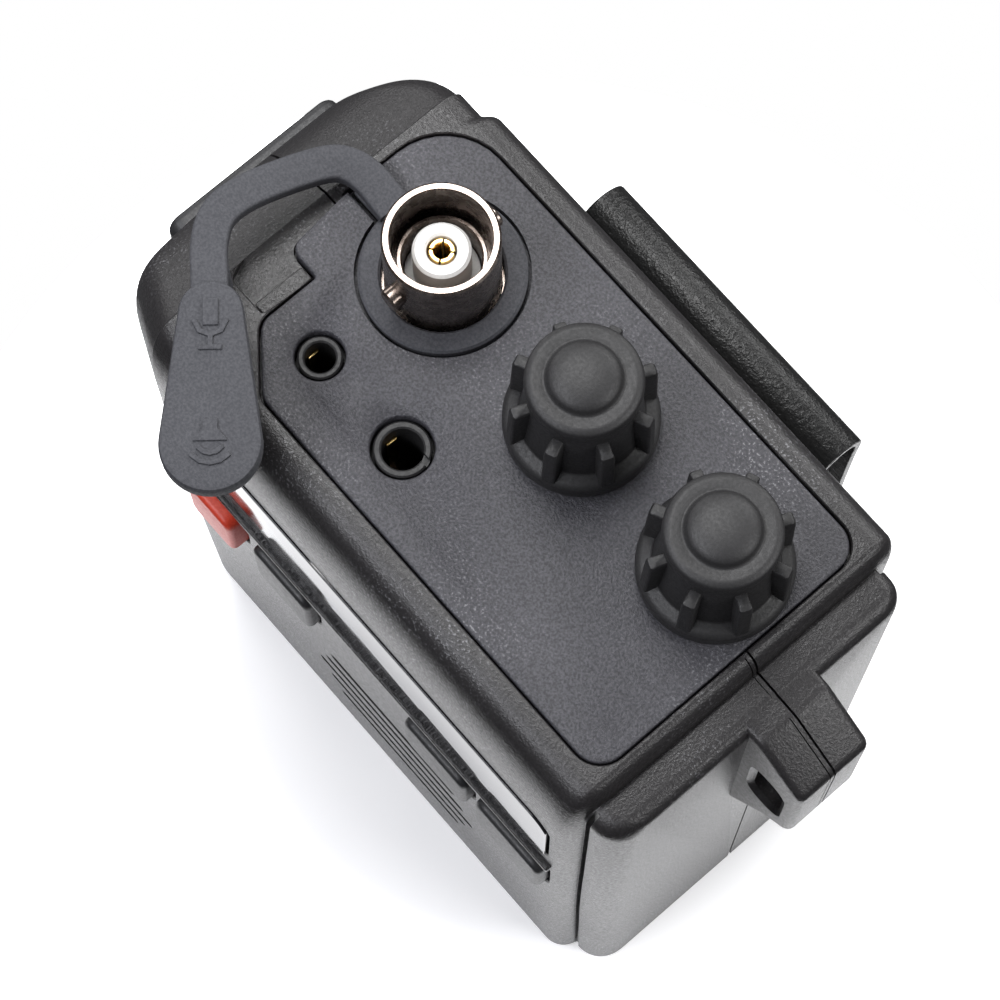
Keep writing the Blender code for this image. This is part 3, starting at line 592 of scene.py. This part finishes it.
def shoulder_height(x):
    """The top of the case: level over the panel, falling away over the left shoulder."""
    if x >= RIDGE_X:
        climb = min(1.0, (x - RIDGE_X) / (PANEL_EDGE_X - RIDGE_X))
        ridge = RIDGE_Z + (TOP - RIDGE_Z) * climb
        return ridge - step_round_off(x, STEP_X, STEP_ROUND, STEP_DROP)
    for low, high in zip(SHOULDER, SHOULDER[1:]):
        if x <= high.x:
            return low.y + (high.y - low.y) * max(0.0, (x - low.x) / (high.x - low.x))
    return SHOULDER[-1].y


def flange_height(x):
    """The top of the lower flange: nearly level, with a rounded outer edge."""
    slope = 0.25 * max(0.0, x - STEP_X) / (RIGHT_X - STEP_X)
    return FLANGE_TOP - slope - step_round_off(x, RIGHT_X, FLANGE_ROUND, FLANGE_ROUND)


def strap_eye():
    body = plate("eye", EYE, -5.6, 2.0, "-Y", edge=0.7, edge_low=0.7)
    slot = rectangle(31.5, 54.0, 34.6, 61.5, 1.3)
    mouth = plate("eye_slot_mouth", slot, 0.5, 2.0, "-Y", flare=0.5)
    return cut(body, plate("eye_slot", slot, -9, 9, "-Y"), mouth)


def seam_lips():
    """Cutters for the fine line beside the parting seam, over the flange and round the eye."""
    ring = plate("eye_lip", inset(EYE, -1.0), -LIP_Y - 0.05, -LIP_Y + 0.05, "-Y")
    cut(ring, plate("eye_core", inset(EYE, 0.25), -LIP_Y - 1, -LIP_Y + 1, "-Y"))
    cut(ring, box("eye_slot_keep", (20, -5, 30), (31.0, 5, 90)))
    strip = box("flange_lip", (STEP_X - 1.2, LIP_Y - 0.05, FLANGE_TOP - 0.3),
                (31.2, LIP_Y + 0.05, 80))
    return ring, strip


def rounding_stations(edge_x, width):
    """Places across a rounded edge, evenly spaced in angle."""
    angles = [math.radians(90 / EDGE_STEPS * step) for step in range(EDGE_STEPS + 1)]
    return [edge_x - width + width * math.sin(a) for a in angles]


def outer_case():
    """The whole outside of the case before it is hollowed and split."""
    ramp = [-35.0 + 0.2 * step for step in range(45)]
    ramp += [PANEL_EDGE_X] + rounding_stations(STEP_X, STEP_ROUND)
    case = swept_block("case", CASE, shoulder_height, crowned_edge(), round_edge(2.5), ramp,
                       FRONT_DRAFT)
    flange = swept_block("flange", FLANGE, flange_height, round_edge(2.0), round_edge(1.6),
                         rounding_stations(RIGHT_X, FLANGE_ROUND), FRONT_DRAFT)
    join(case, flange, strap_eye())
    for low, high in (((STEP_X, -20.0, -1.0), (STEP_X + 0.5, -15.2, 80.0)),
                      ((STEP_X, 14.7, -1.0), (STEP_X + 0.45, 20.0, 80.0)),
                      ((STEP_X, -17.0, FLANGE_TOP - 0.2), (STEP_X + 0.22, 16.0, 80.0))):
        cut(case, box("step_groove", low, high))
    cut(case, *seam_lips())
    return case


def hollow(case):
    """The cavity in three storeys, the openings in the deck, and the seats on top of it."""
    right_wall = [(25.0, FRONT_Y, 1.5), (RIGHT_X - 0.2, -15.4, 1.0),
                  (RIGHT_X - 0.2, 15.3, 1.0), (25.0, 17.2, 1.5)]
    inner = inset(right_wall + CASE[4:], 1.8)
    narrow = [(28.0, -13.6, 1.0), (28.0, 13.4, 1.0), (24.8, 15.2, 1.0), (-28.5, 15.2, 1.0),
              (-28.5, -16.0, 1.0), (24.8, -16.0, 1.0)]
    opening = rectangle(-19.4, -11.6, 23.4, 12.3, 1.5)
    cut(case, plate("cavity", inner, 2.0, 60.5))
    cut(case, plate("upper_cavity", narrow, 60.0, 67.4))
    cut(case, plate("deck_opening", opening, 67.0, TOP + 2))
    cut(case, rod("socket_room", (BNC.x, BNC.y, 66.8), 7.6, 4.0))
    cut(case, plate("panel_seat", inset(PANEL, -0.13), PANEL_LOW.z - 0.1, TOP, flare=0.1))
    ledge = [(-21.4, -9.0, 0.3), (-20.6, 2.6, 0.2), (-26.9, 2.6, 0.3), (-26.9, -5.5, 0.8),
             (-25.4, -9.0, 0.8)]
    cut(case, plate("strap_ledge", ledge, TOP - 0.9, TOP, flare=0.12))
    kerb = [(-21.2, -8.9, 0.2), (-21.2, -3.9, 0.1), (-22.6, -3.9, 0.3), (-22.6, -8.9, 0.3)]
    join(case, plate("ledge_kerb", kerb, TOP - 1.6, TOP - 0.5, edge=0.12))


def front_openings(case):
    ledge = rectangle(-24.4, 45.75, 24.9, 46.65, 0.2)
    join(case, plate("window_ledge", ledge, 17.0, -FRONT_Y + 0.55, "-Y", edge=0.18))
    left, low, right, high = -23.7, 46.8, 24.4, 61.2
    window = [(left, low, 1.0), (right - 2.8, low, 1.0), (right, low + 3.2, 1.0),
              (right, high, 2.2), (left, high, 1.2)]
    cut(case, plate("window_seat", window, -(FRONT_Y + 1.0), -FRONT_Y, "-Y", flare=0.12))
    cut(case, plate("window_hole", rectangle(-19.5, 49.0, 20.2, 59.0, 0.8), 10.0, 20.0, "-Y"))
    for name in KEYS:
        low, high = node_box(name)
        outline = rectangle(low.x - 0.25, low.z + 0.65, high.x + 0.25, high.z - 0.65, 1.4)
        cut(case, plate(name + "_hole", outline, 10.0, -FRONT_Y, "-Y", flare=0.15))
    for number in range(5):
        z = 11.0 + 4.0 * number
        reach = 11.0 - 1.2 * abs(number - 2)
        slot = rectangle(3 - reach, z - 0.7, 3 + reach, z + 0.7, 0.65)
        cut(case, plate("grille_slot", slot, 10.0, -FRONT_Y, "-Y", flare=0.25))
    cut(case, rod("microphone_hole", (-22.0, -10.0, 27.0), 0.7, 12.0, "-Y", 24))


def side_openings(case):
    """The talk bar's window, and three slanted grip bars on the front left corner."""
    low, high = node_box("talk_bar")
    window = rectangle(low.y - 0.25, low.z - 0.25, high.y + 0.25, high.z + 0.25, 1.6)
    cut(case, plate("talk_window", [(y, z, r) for y, z, r in window], -40.0, -31.0, "X"))
    for bar in (((-14.8, 47.2), (-13.1, 37.2), (-12.5, 41.0), (-14.5, 51.8)),
                ((-14.9, 40.3), (-13.8, 31.0), (-13.5, 33.0), (-14.8, 42.6)),
                ((-15.4, 33.6), (-14.5, 28.0), (-14.4, 29.8), (-15.3, 35.4))):
        cut(case, plate("grip_bar", [(y, z, 0.3) for y, z in bar], -40.0, -32.3, "X"))


def half_space(low_y, high_y):
    return box("half", (-FAR, low_y, -20), (FAR, high_y, 110))


def copy_of(item, name):
    twin = bpy.data.objects.new(name, item.data.copy())
    bpy.context.scene.collection.objects.link(twin)
    return twin


def make_case():
    case = outer_case()
    hollow(case)
    side_openings(case)
    rear = copy_of(case, "rear_case")
    keep(case, half_space(-FAR, PARTING_Y - SEAM))
    front_openings(case)
    case.name = "front_case"
    keep(rear, half_space(PARTING_Y + SEAM, FAR))
    for number in (1, 2):
        place = node_middle(f"case_screw_{number}")
        cut(rear, rod("screw_seat", (place.x, BACK_Y - 2.1, place.z), 2.8, 5.0, "Y"))
        place = node_middle(f"clip_screw_{number}")
        cut(rear, rod("clip_pilot", (place.x, 12.0, place.z), 1.3, 8.0, "Y", 24))
    door_low, door_high = node_box("battery_door")
    cut(rear, box("door_room", (-FAR, -5, -5), (FAR, FAR, door_high.z + 0.12)))
    hand_over(case, "front_shell")
    hand_over(rear, "rear_shell")
    make_door(door_low.y, door_high.z)


def make_door(front_y, top):
    """The bottom layer of the rear half, with a groove to pull it by."""
    def level(x):
        return 60.0

    door = swept_block("battery_base", CASE, level, round_edge(1.0), round_edge(1.0))
    join(door, swept_block("door_flange", FLANGE, level, round_edge(1.0), round_edge(1.0)))
    keep(door, box("door_layer", (-FAR, front_y, -1), (FAR, FAR, top)))
    cut(door, plate("door_grip", rectangle(-8.0, 13.0, 4.0, 14.6, 0.75), -3.0, 0.8))
    hand_over(door, "battery_door")


# ---------------------------------------------------------------- panel and what stands on it

def make_panel():
    panel = plate("control_panel", inset(PANEL, 0.05), PANEL_LOW.z, TOP, edge=0.28)
    cut(panel, rod("ring_seat", (BNC.x, BNC.y, TOP - 1.0), 7.25, 3.0, steps=96))
    cut(panel, rod("socket_hole", (BNC.x, BNC.y, 66.0), 5.05, 10.0))
    notch = rectangle(-27.0, 3.05, BNC.x - 5.8, 6.15, 0.3)
    cut(panel, plate("strap_notch", notch, TOP - 1.0, TOP, flare=0.12))
    for name, gap_r in (("mic_jack", 2.12), ("speaker_jack", 2.65)):
        cut(panel, flared_hole(node_middle(name), gap_r, 0.15))
    for name in ("volume_shaft", "squelch_shaft"):
        cut(panel, rod("bushing_hole", (*node_middle(name)[:2], 66.0), 3.5, 10.0))
    hand_over(panel, "top_panel", angle=50.0)


def flared_hole(place, radius, flare):
    """A cutter for a round hole with a chamfered mouth."""
    profile = [(0, TOP + 2), (radius + flare + 2, TOP + 2), (radius, TOP - flare), (radius, 60),
               (0, 60)]
    return turned("flared_hole", profile, (place.x, JACK_Y, 0), steps=64)


def make_jacks():
    """Each jack's sleeve, and the gold contact leaf that shows inside its bore."""
    body_r, shoulder_z, rim = 2.9, 69.8, 0.14
    for name, collar, bore in (("mic_jack", 1.85, 1.3), ("speaker_jack", 2.38, 1.75)):
        x, y, _ = node_middle(name)
        low, top = (corner.z for corner in node_box(name))
        profile = [(bore + rim, top), (collar - rim, top), (collar, top - rim),
                   (collar, shoulder_z), (body_r, shoulder_z - 0.1), (body_r, low), (bore, low),
                   (bore, top - rim)]
        jack = turned(name + "_sleeve", profile, (x, y, 0), steps=64)
        if name == "speaker_jack":
            cut(jack, box("key_notch", (x + 0.9, y + 0.5, top - 0.5), (x + 3.0, y + 1.1, top + 1),
                          0.05))
        leaf = box(name + "_contact", (x - bore + 0.05, y - 0.5, 60.0),
                   (x - bore + 0.35, y + 0.6, 69.9), 0.08)
        shade(leaf)
        leaf.data.materials.append(MATERIALS["gold"])
        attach(leaf, BODY_OF[name])
        hand_over(jack, name, "knob_plastic")


def make_antenna_socket():
    """The barrel with its two bayonet lugs, the insulator, and the contact with crossed slits."""
    rim = node_box("bnc_body")[1].z
    centre = (BNC.x, BNC.y, 0)
    barrel = [(4.12, rim - 0.12), (4.2, rim), (4.62, rim), (4.8, rim - 0.2), (4.8, TOP + 0.5),
              (4.8, 70.4), (4.6, 70.2), (4.6, 61.0), (3.2, 61.0), (3.2, 75.4), (3.38, 75.6),
              (3.62, 75.6), (3.72, 75.4), (3.72, 73.0), (4.05, 73.0)]
    socket = turned("socket_barrel", barrel, centre)
    for side, turn in ((1, "Y"), (-1, "-Y")):
        foot = (BNC.x, BNC.y + side * 4.3, rim - 4.5)
        join(socket, rod("bayonet_lug", foot, 1.0, 1.45, turn, 32, edge=0.18))
    hand_over(socket, "bnc_body")
    sleeve = [(1.25, 77.3), (1.45, 77.5), (2.15, 77.5), (2.4, 77.25), (2.4, 72.9), (3.1, 72.6),
              (3.1, 60.2), (1.18, 60.2)]
    hand_over(turned("socket_insulator", sleeve, centre), "bnc_insulator")
    pin = [(0.62, 77.15), (0.75, 77.3), (0.98, 77.3), (1.1, 77.15), (1.1, 61.0), (0.5, 61.0),
           (0.5, 76.5)]
    contact = turned("socket_contact", pin, centre, steps=64)
    for number in range(2):
        slit = box("slit", (-1.5, -0.09, 73.0), (1.5, 0.09, 79.0))
        spin = Matrix.Rotation(math.radians(90 * number + 40), 4, "Z")
        slit.data.transform(Matrix.Translation(Vector(centre) * MM) @ spin)
        cut(contact, slit)
    hand_over(contact, "bnc_contact")


def make_seal_ring():
    low, top = (corner.z for corner in node_box("seal_ring"))
    inner, outer, edge = 5.1, 6.95, 0.2
    profile = [(inner, top - edge), (inner + edge, top), (outer - edge, top), (outer, top - edge),
               (outer, low), (inner, low)]
    ring = turned("seal_washer", profile, (BNC.x, BNC.y, 0))
    tongue = box("tongue", (-24.6, 3.4, low), (BNC.x - 5.6, 5.8, top - 0.4), 0.15)
    join(ring, tongue)
    hand_over(ring, "seal_ring")


# ---------------------------------------------------------------- knobs

def make_knob(control):
    low, high = node_box(control + "_knob")
    x, y = node_middle(control + "_shaft")[:2]
    base, crown = low.z, high.z
    skirt_r = (high.x - low.x) / 2
    outer = [(3.15, crown - 1.28), (3.4, crown - 1.25), (4.15, crown - 1.2), (4.62, crown - 1.5),
             (4.72, crown - 2.1), (4.58, crown - 2.9), (4.5, crown - 3.6), (5.05, base + 2.4),
             (skirt_r - 0.35, base + 2.0), (skirt_r, base + 1.6), (skirt_r, base + 0.25),
             (skirt_r - 0.2, base), (5.5, base)]
    dome = []
    for step in range(9):
        angle = math.radians(90 * step / 8)
        dome.append((2.95 * math.sin(angle) ** 0.9, crown - 1.05 * (1 - math.cos(angle))))
    inner = [(5.4, base + 0.2), (5.4, base + 1.2), (2.3, base + 1.2), (2.3, crown - 3.4)]
    flank = round_corner(dome[-1:] + outer + inner, 0.22)
    knob = turned(control + "_grip", dome[:-1] + flank + [(0.0, crown - 3.4)], (x, y, 0), steps=128)
    for number in range(KNOB_RIBS):
        rib = tapered_rib(base + 1.5, crown - 4.3)
        spin = Matrix.Rotation(math.radians(360 / KNOB_RIBS * (number + 0.5)), 4, "Z")
        rib.data.transform(Matrix.Translation(Vector((x, y, 0)) * MM) @ spin)
        join(knob, rib)
    hand_over(knob, control + "_knob", angle=38.0)


def tapered_rib(low, high):
    """One grip rib: proud of the barrel, with a rounded top end and a slight draft."""
    rings = []
    for level, reach, half in ((low, 6.2, 0.62), (high - 0.5, 6.0, 0.56), (high - 0.12, 5.85, 0.5),
                               (high, 5.55, 0.38)):
        outline = rounded(rectangle(3.9, -half, reach, half, 0.22), 4)
        rings.append([(*point, level) for point in outline])
    return loft("rib", rings)


# ---------------------------------------------------------------- jack cover

def band(name, path, wide, thick, edge):
    """A flat strap along a curve, level across its width, with rounded edges."""
    section = rounded(rectangle(-wide / 2, -thick / 2, wide / 2, thick / 2, edge), 4)
    rings = []
    for index, point in enumerate(path):
        ahead = path[min(index + 1, len(path) - 1)] - path[max(index - 1, 0)]
        across = Vector((0, 0, 1)).cross(ahead).normalized()
        up = ahead.cross(across).normalized()
        rings.append([point + across * u + up * v for u, v in section])
    return loft(name, rings)


def make_jack_cover():
    """The strap and its paddle, with a stopper for each jack and the two raised marks."""
    path = catmull([
        (-20.9, 4.75, 72.7), (-22.6, 4.85, 72.8), (-24.4, 4.85, 73.0), (-26.1, 4.3, 73.25),
        (-27.3, 2.9, 73.7), (-28.4, -0.8, 74.8), (-29.0, -4.4, 75.85), (-28.7, -7.1, 76.5),
        (-27.2, -9.2, 76.9), (-25.0, -11.0, 77.1), (-23.2, -12.4, 77.25),
    ])
    strap = band("jack_cover_rubber", path, 3.0, 1.3, 0.28)
    edge = 0.45
    chamfer = ((edge, 0.0), (edge * 0.3, edge * 0.3), (0.0, edge))
    levels = [(inset_by, PADDLE_LOW + rise) for inset_by, rise in chamfer]
    levels += [(inset_by, PADDLE_TOP - rise) for inset_by, rise in chamfer[::-1]]
    rings = [[(*point, level) for point in paddle_outline(inset_by)] for inset_by, level in levels]
    join(strap, loft("paddle", rings))
    swing = Matrix.Rotation(COVER_SWING, 2)
    for name, radius, shift in (("mic_jack", 1.1, (-0.35, -0.4)), ("speaker_jack", 1.65, (0, 0))):
        jack = node_middle(name)
        place = COVER_AXIS + swing @ (Vector((jack.x, jack.y)) - COVER_AXIS) + Vector(shift)
        profile = [(0, 77), (radius, 77), (radius, 73.4), (radius - 0.4, 73.05), (0, 73.05)]
        join(strap, turned("stopper", profile, (*place, 0), steps=40))
    for mark in pictograms():
        join(strap, mark)
    hand_over(strap, "jack_cover", angle=40.0)


def paddle_outline(inset_by):
    """The paddle's plan: a small round end, straight flanks and a large round end."""
    small, large = PADDLE_SMALL_R - inset_by, PADDLE_LARGE_R - inset_by
    lean = math.asin((large - small) / PADDLE_LENGTH)
    points = []
    for step in range(17):
        angle = math.radians(90) + lean + (math.pi - 2 * lean) * step / 16
        points.append(PADDLE_START + ALONG * small * math.cos(angle)
                      + ACROSS * small * math.sin(angle))
    for step in range(25):
        angle = -math.radians(90) - lean + (math.pi + 2 * lean) * step / 24
        points.append(PADDLE_START + ALONG * (PADDLE_LENGTH + large * math.cos(angle))
                      + ACROSS * large * math.sin(angle))
    return points


def pictograms():
    """Raised generic marks: a microphone at the small end and a loudspeaker at the large end."""
    def mark(spots):
        corners = [(*(PADDLE_START + ALONG * u + ACROSS * v), 0.06) for u, v in spots]
        return plate("mark", corners, PADDLE_TOP - 0.3, PADDLE_TOP + 0.2, edge=0.06, steps=3)

    def bar(u0, v0, u1, v1, half):
        run = Vector((u1 - u0, v1 - v0)).normalized()
        side = run.orthogonal() * half
        a, b = Vector((u0, v0)) - run * half * 0.6, Vector((u1, v1)) + run * half * 0.6
        return mark([a - side, b - side, b + side, a + side])

    def arc(u, v, radius, first, last):
        angles = [math.radians(first + (last - first) * step / 4) for step in range(5)]
        spots = [(u + radius * math.cos(a), v + radius * math.sin(a)) for a in angles]
        return [bar(*one, *two, 0.2) for one, two in zip(spots, spots[1:])]

    far = PADDLE_LENGTH - 0.6
    marks = [bar(-0.6, 0, 0.9, 0, 0.62), bar(2.1, 0, 3.1, 0, 0.2), bar(3.1, -0.8, 3.1, 0.8, 0.2)]
    marks += arc(0.8, 0, 1.25, -85, 85)
    marks.append(mark([(far - 1.2, -0.6), (far - 0.4, -0.6), (far + 0.6, -1.4), (far + 0.6, 1.4),
                       (far - 0.4, 0.6), (far - 1.2, 0.6)]))
    return marks + arc(far + 0.5, 0, 1.1, -55, 55) + arc(far + 0.5, 0, 1.9, -50, 50)


# ---------------------------------------------------------------- front, side, back

def make_front():
    low, high = node_box("display_window")
    outline = [(low.x + 0.05, low.z + 0.05, 0.9), (high.x - 2.9, low.z + 0.05, 0.9),
               (high.x - 0.05, low.z + 3.1, 0.9), (high.x - 0.05, high.z - 0.05, 2.0),
               (low.x + 0.05, high.z - 0.05, 1.0)]
    window = plate("window", outline, -high.y, -low.y, "-Y", edge=0.12)
    hand_over(window, "display_window")
    for name in KEYS:
        make_key(name)


def make_key(name):
    low, high = node_box(name)
    outline = rectangle(low.x + 0.05, low.z + 0.95, high.x - 0.05, high.z - 0.95, 1.3)
    key = plate(name + "_cap", outline, -high.y + 0.3, -low.y, "-Y", edge=0.55)
    flange = box("flange", (low.x, high.y - 0.7, low.z), (high.x, high.y, high.z), 0.1)
    join(key, flange)
    hand_over(key, name, angle=40.0)


def make_talk_bar():
    low, high = node_box("talk_bar")
    outline = rectangle(low.y + 0.05, low.z + 0.05, high.y - 0.05, high.z - 0.05, 1.5)
    cap_inner_x, stem_x = -33.6, -34.2
    bar = plate("talk_bar_cap", outline, -cap_inner_x, -low.x, "Z", edge=0.7)
    bar.data.transform(Matrix(((0, 0, -1, 0), (1, 0, 0, 0), (0, 1, 0, 0), (0, 0, 0, 1))))
    bar.data.flip_normals()
    for number in range(5):
        z = 38.0 + 4.2 * number
        cut(bar, box("finger_groove", (low.x - 1, low.y + 2.5, z - 0.45),
                     (low.x + 0.35, high.y - 2.5, z + 0.45), 0.15))
    join(bar, rod("stem", (stem_x, -5.0, 46.5), 1.5, high.x - stem_x, "X", 32, edge=0.2))
    hand_over(bar, "talk_bar", angle=40.0)


def make_clip():
    """One bent sheet: rolled round the pin at the top, and down the back to a turned-out toe."""
    pin_y, pin_z, outer_r, sheet = 21.7, 57.5, 2.7, 0.8
    arc = [math.radians(150 - 150 * step / 24) for step in range(25)]

    def roll(radius):
        return [(pin_y + radius * math.cos(a), pin_z + radius * math.sin(a)) for a in arc]

    tail = [(24.4, 57.5), (24.0, 52.0), (23.2, 30.0), (22.3, 11.0), (23.6, 7.5)]
    run = [tuple(point) for point in catmull(tail, 6)][1:]
    outer = roll(outer_r) + run
    inner = roll(outer_r - sheet) + [(y - sheet, z) for y, z in run]
    sides = [corner.x for corner in node_box("belt_clip")]
    rings = [[(*point, x) for point in outer + inner[::-1]] for x in sides]
    clip = loft("clip_spring_sheet", rings, TURN["X"])
    soften(clip, 0.16, 2, 50.0)
    hand_over(clip, "belt_clip", angle=30.0)


def make_screws():
    for number in (1, 2):
        name = f"case_screw_{number}"
        low, high = node_box(name)
        middle = (low + high) / 2
        profile = [(0, 1.5), (1.9, 1.5), (2.35, 1.25), (2.5, 0.9), (2.5, 0), (1.25, 0),
                   (1.25, -18.5), (0, -19.4)]
        screw = turned(name + "_fine", profile, (middle.x, high.y - 1.5, middle.z), "Y", 64)
        for across, tall in ((1.6, 0.28), (0.28, 1.6)):
            cross = box("cross", (middle.x - across, high.y - 0.9, middle.z - tall),
                        (middle.x + across, high.y + 1, middle.z + tall), 0.05)
            cut(screw, cross)
        hand_over(screw, name)


# ---------------------------------------------------------------- stage, light, camera

def make_stage():
    """A white round table top, little wider than the radio, in a world that looks white from the
    camera and is dim in every mirror. So the walls mirror white and the edges above them turn
    dark, as they do in a light tent. The table top glows though it is no lamp, painted light, and
    glows less near the radio, a painted shadow round its base."""
    floor = rod("floor", (0, 0, -2.02), 62.0, 2.0, steps=128, edge=0.5)
    material, tree, shader = shader_material("pale_floor", (0.80, 0.80, 0.81), 0.6)
    vector = coordinates(tree)
    mottle = noise(tree, vector, 0.05, 3.0)
    tint(tree, shader, spread(tree, mottle, 0.0, 1.0), (0.79, 0.79, 0.80), (0.82, 0.82, 0.83))
    relief(tree, shader, [(noise(tree, vector, 1.0, 3.0), 0.01)])
    # painted light: the floor glows, and its weaker glow near the radio is a painted shadow
    shader.inputs["Emission Color"].default_value = (1.0, 1.0, 1.0, 1.0)
    length = node(tree, "ShaderNodeVectorMath", operation="LENGTH")
    tree.links.new(vector, length.inputs[0])
    painted_floor_glow = spread(tree, length.outputs["Value"], 0.25, 1.6, 28.0 * MM, 55.0 * MM)
    tree.links.new(painted_floor_glow, shader.inputs["Emission Strength"])
    floor.data.materials.append(material)
    shade(floor)


def area_light(name, place, target, size, power, colour=(1, 1, 1)):
    lamp = bpy.data.lights.new(name, "AREA")
    lamp.shape = "RECTANGLE"
    lamp.size, lamp.size_y = size
    lamp.energy = power
    lamp.color = colour
    item = bpy.data.objects.new(name, lamp)
    item.location = Vector(place)
    item.rotation_euler = (Vector(target) - Vector(place)).to_track_quat("-Z", "Y").to_euler()
    bpy.context.scene.collection.objects.link(item)


def make_light():
    """A world that is white to the camera only, and five soft boxes; places and sizes in metres."""
    bpy.context.scene.view_settings.view_transform = "Standard"
    world = bpy.data.worlds.new("studio")
    bpy.context.scene.world = world
    world.use_nodes = True
    tree = world.node_tree
    background = tree.nodes["Background"]
    seen = node(tree, "ShaderNodeBackground")
    seen.inputs["Color"].default_value = (1.0, 1.0, 1.0, 1.0)
    seen.inputs["Strength"].default_value = 1.0
    background.inputs["Color"].default_value = (0.10, 0.10, 0.105, 1.0)
    background.inputs["Strength"].default_value = 1.0
    path = node(tree, "ShaderNodeLightPath")
    mix = node(tree, "ShaderNodeMixShader")
    tree.links.new(path.outputs["Is Camera Ray"], mix.inputs["Fac"])
    tree.links.new(background.outputs["Background"], mix.inputs[1])
    tree.links.new(seen.outputs["Background"], mix.inputs[2])
    tree.links.new(mix.outputs["Shader"], tree.nodes["World Output"].inputs["Surface"])
    aim = (0.0, 0.0, 0.06)
    area_light("overhead_softbox", (-0.24, 0.12, 0.68), aim, (0.30, 0.30), 3.6)
    area_light("front_softbox", (-0.14, -0.38, 0.55), aim, (0.6, 0.14), 3.4, (0.94, 0.95, 1.0))
    area_light("right_softbox", (0.55, 0.30, 0.45), aim, (0.4, 0.25), 2.6)
    area_light("back_softbox", (-0.10, 0.60, 0.36), aim, (0.5, 0.25), 2.6)
    area_light("left_softbox", (-0.60, 0.10, 0.17), aim, (0.5, 0.22), 1.0)


def make_camera():
    """Above the front right corner, looking down; the axes come from a perspective fit."""
    camera = bpy.data.cameras.new("camera")
    camera.sensor_width = 36.0
    camera.lens = 118.8
    camera.clip_start = 0.01
    item = bpy.data.objects.new("camera", camera)
    right = Vector((0.6553, 0.7554, -0.0008))
    up = Vector((-0.726, 0.6301, 0.2753))
    back = Vector((0.2085, -0.1798, 0.9613))
    turn = Matrix((right, up, back)).transposed().to_4x4()
    item.matrix_world = Matrix.Translation(Vector((57.85, -52.0, 324.6)) * MM) @ turn
    bpy.context.scene.collection.objects.link(item)
    bpy.context.scene.camera = item


dress_cad_nodes()
make_case()
make_panel()
make_jacks()
make_antenna_socket()
make_seal_ring()
make_knob("volume")
make_knob("squelch")
make_jack_cover()
make_front()
make_talk_bar()
make_clip()
make_screws()
make_stage()
make_light()
make_camera()
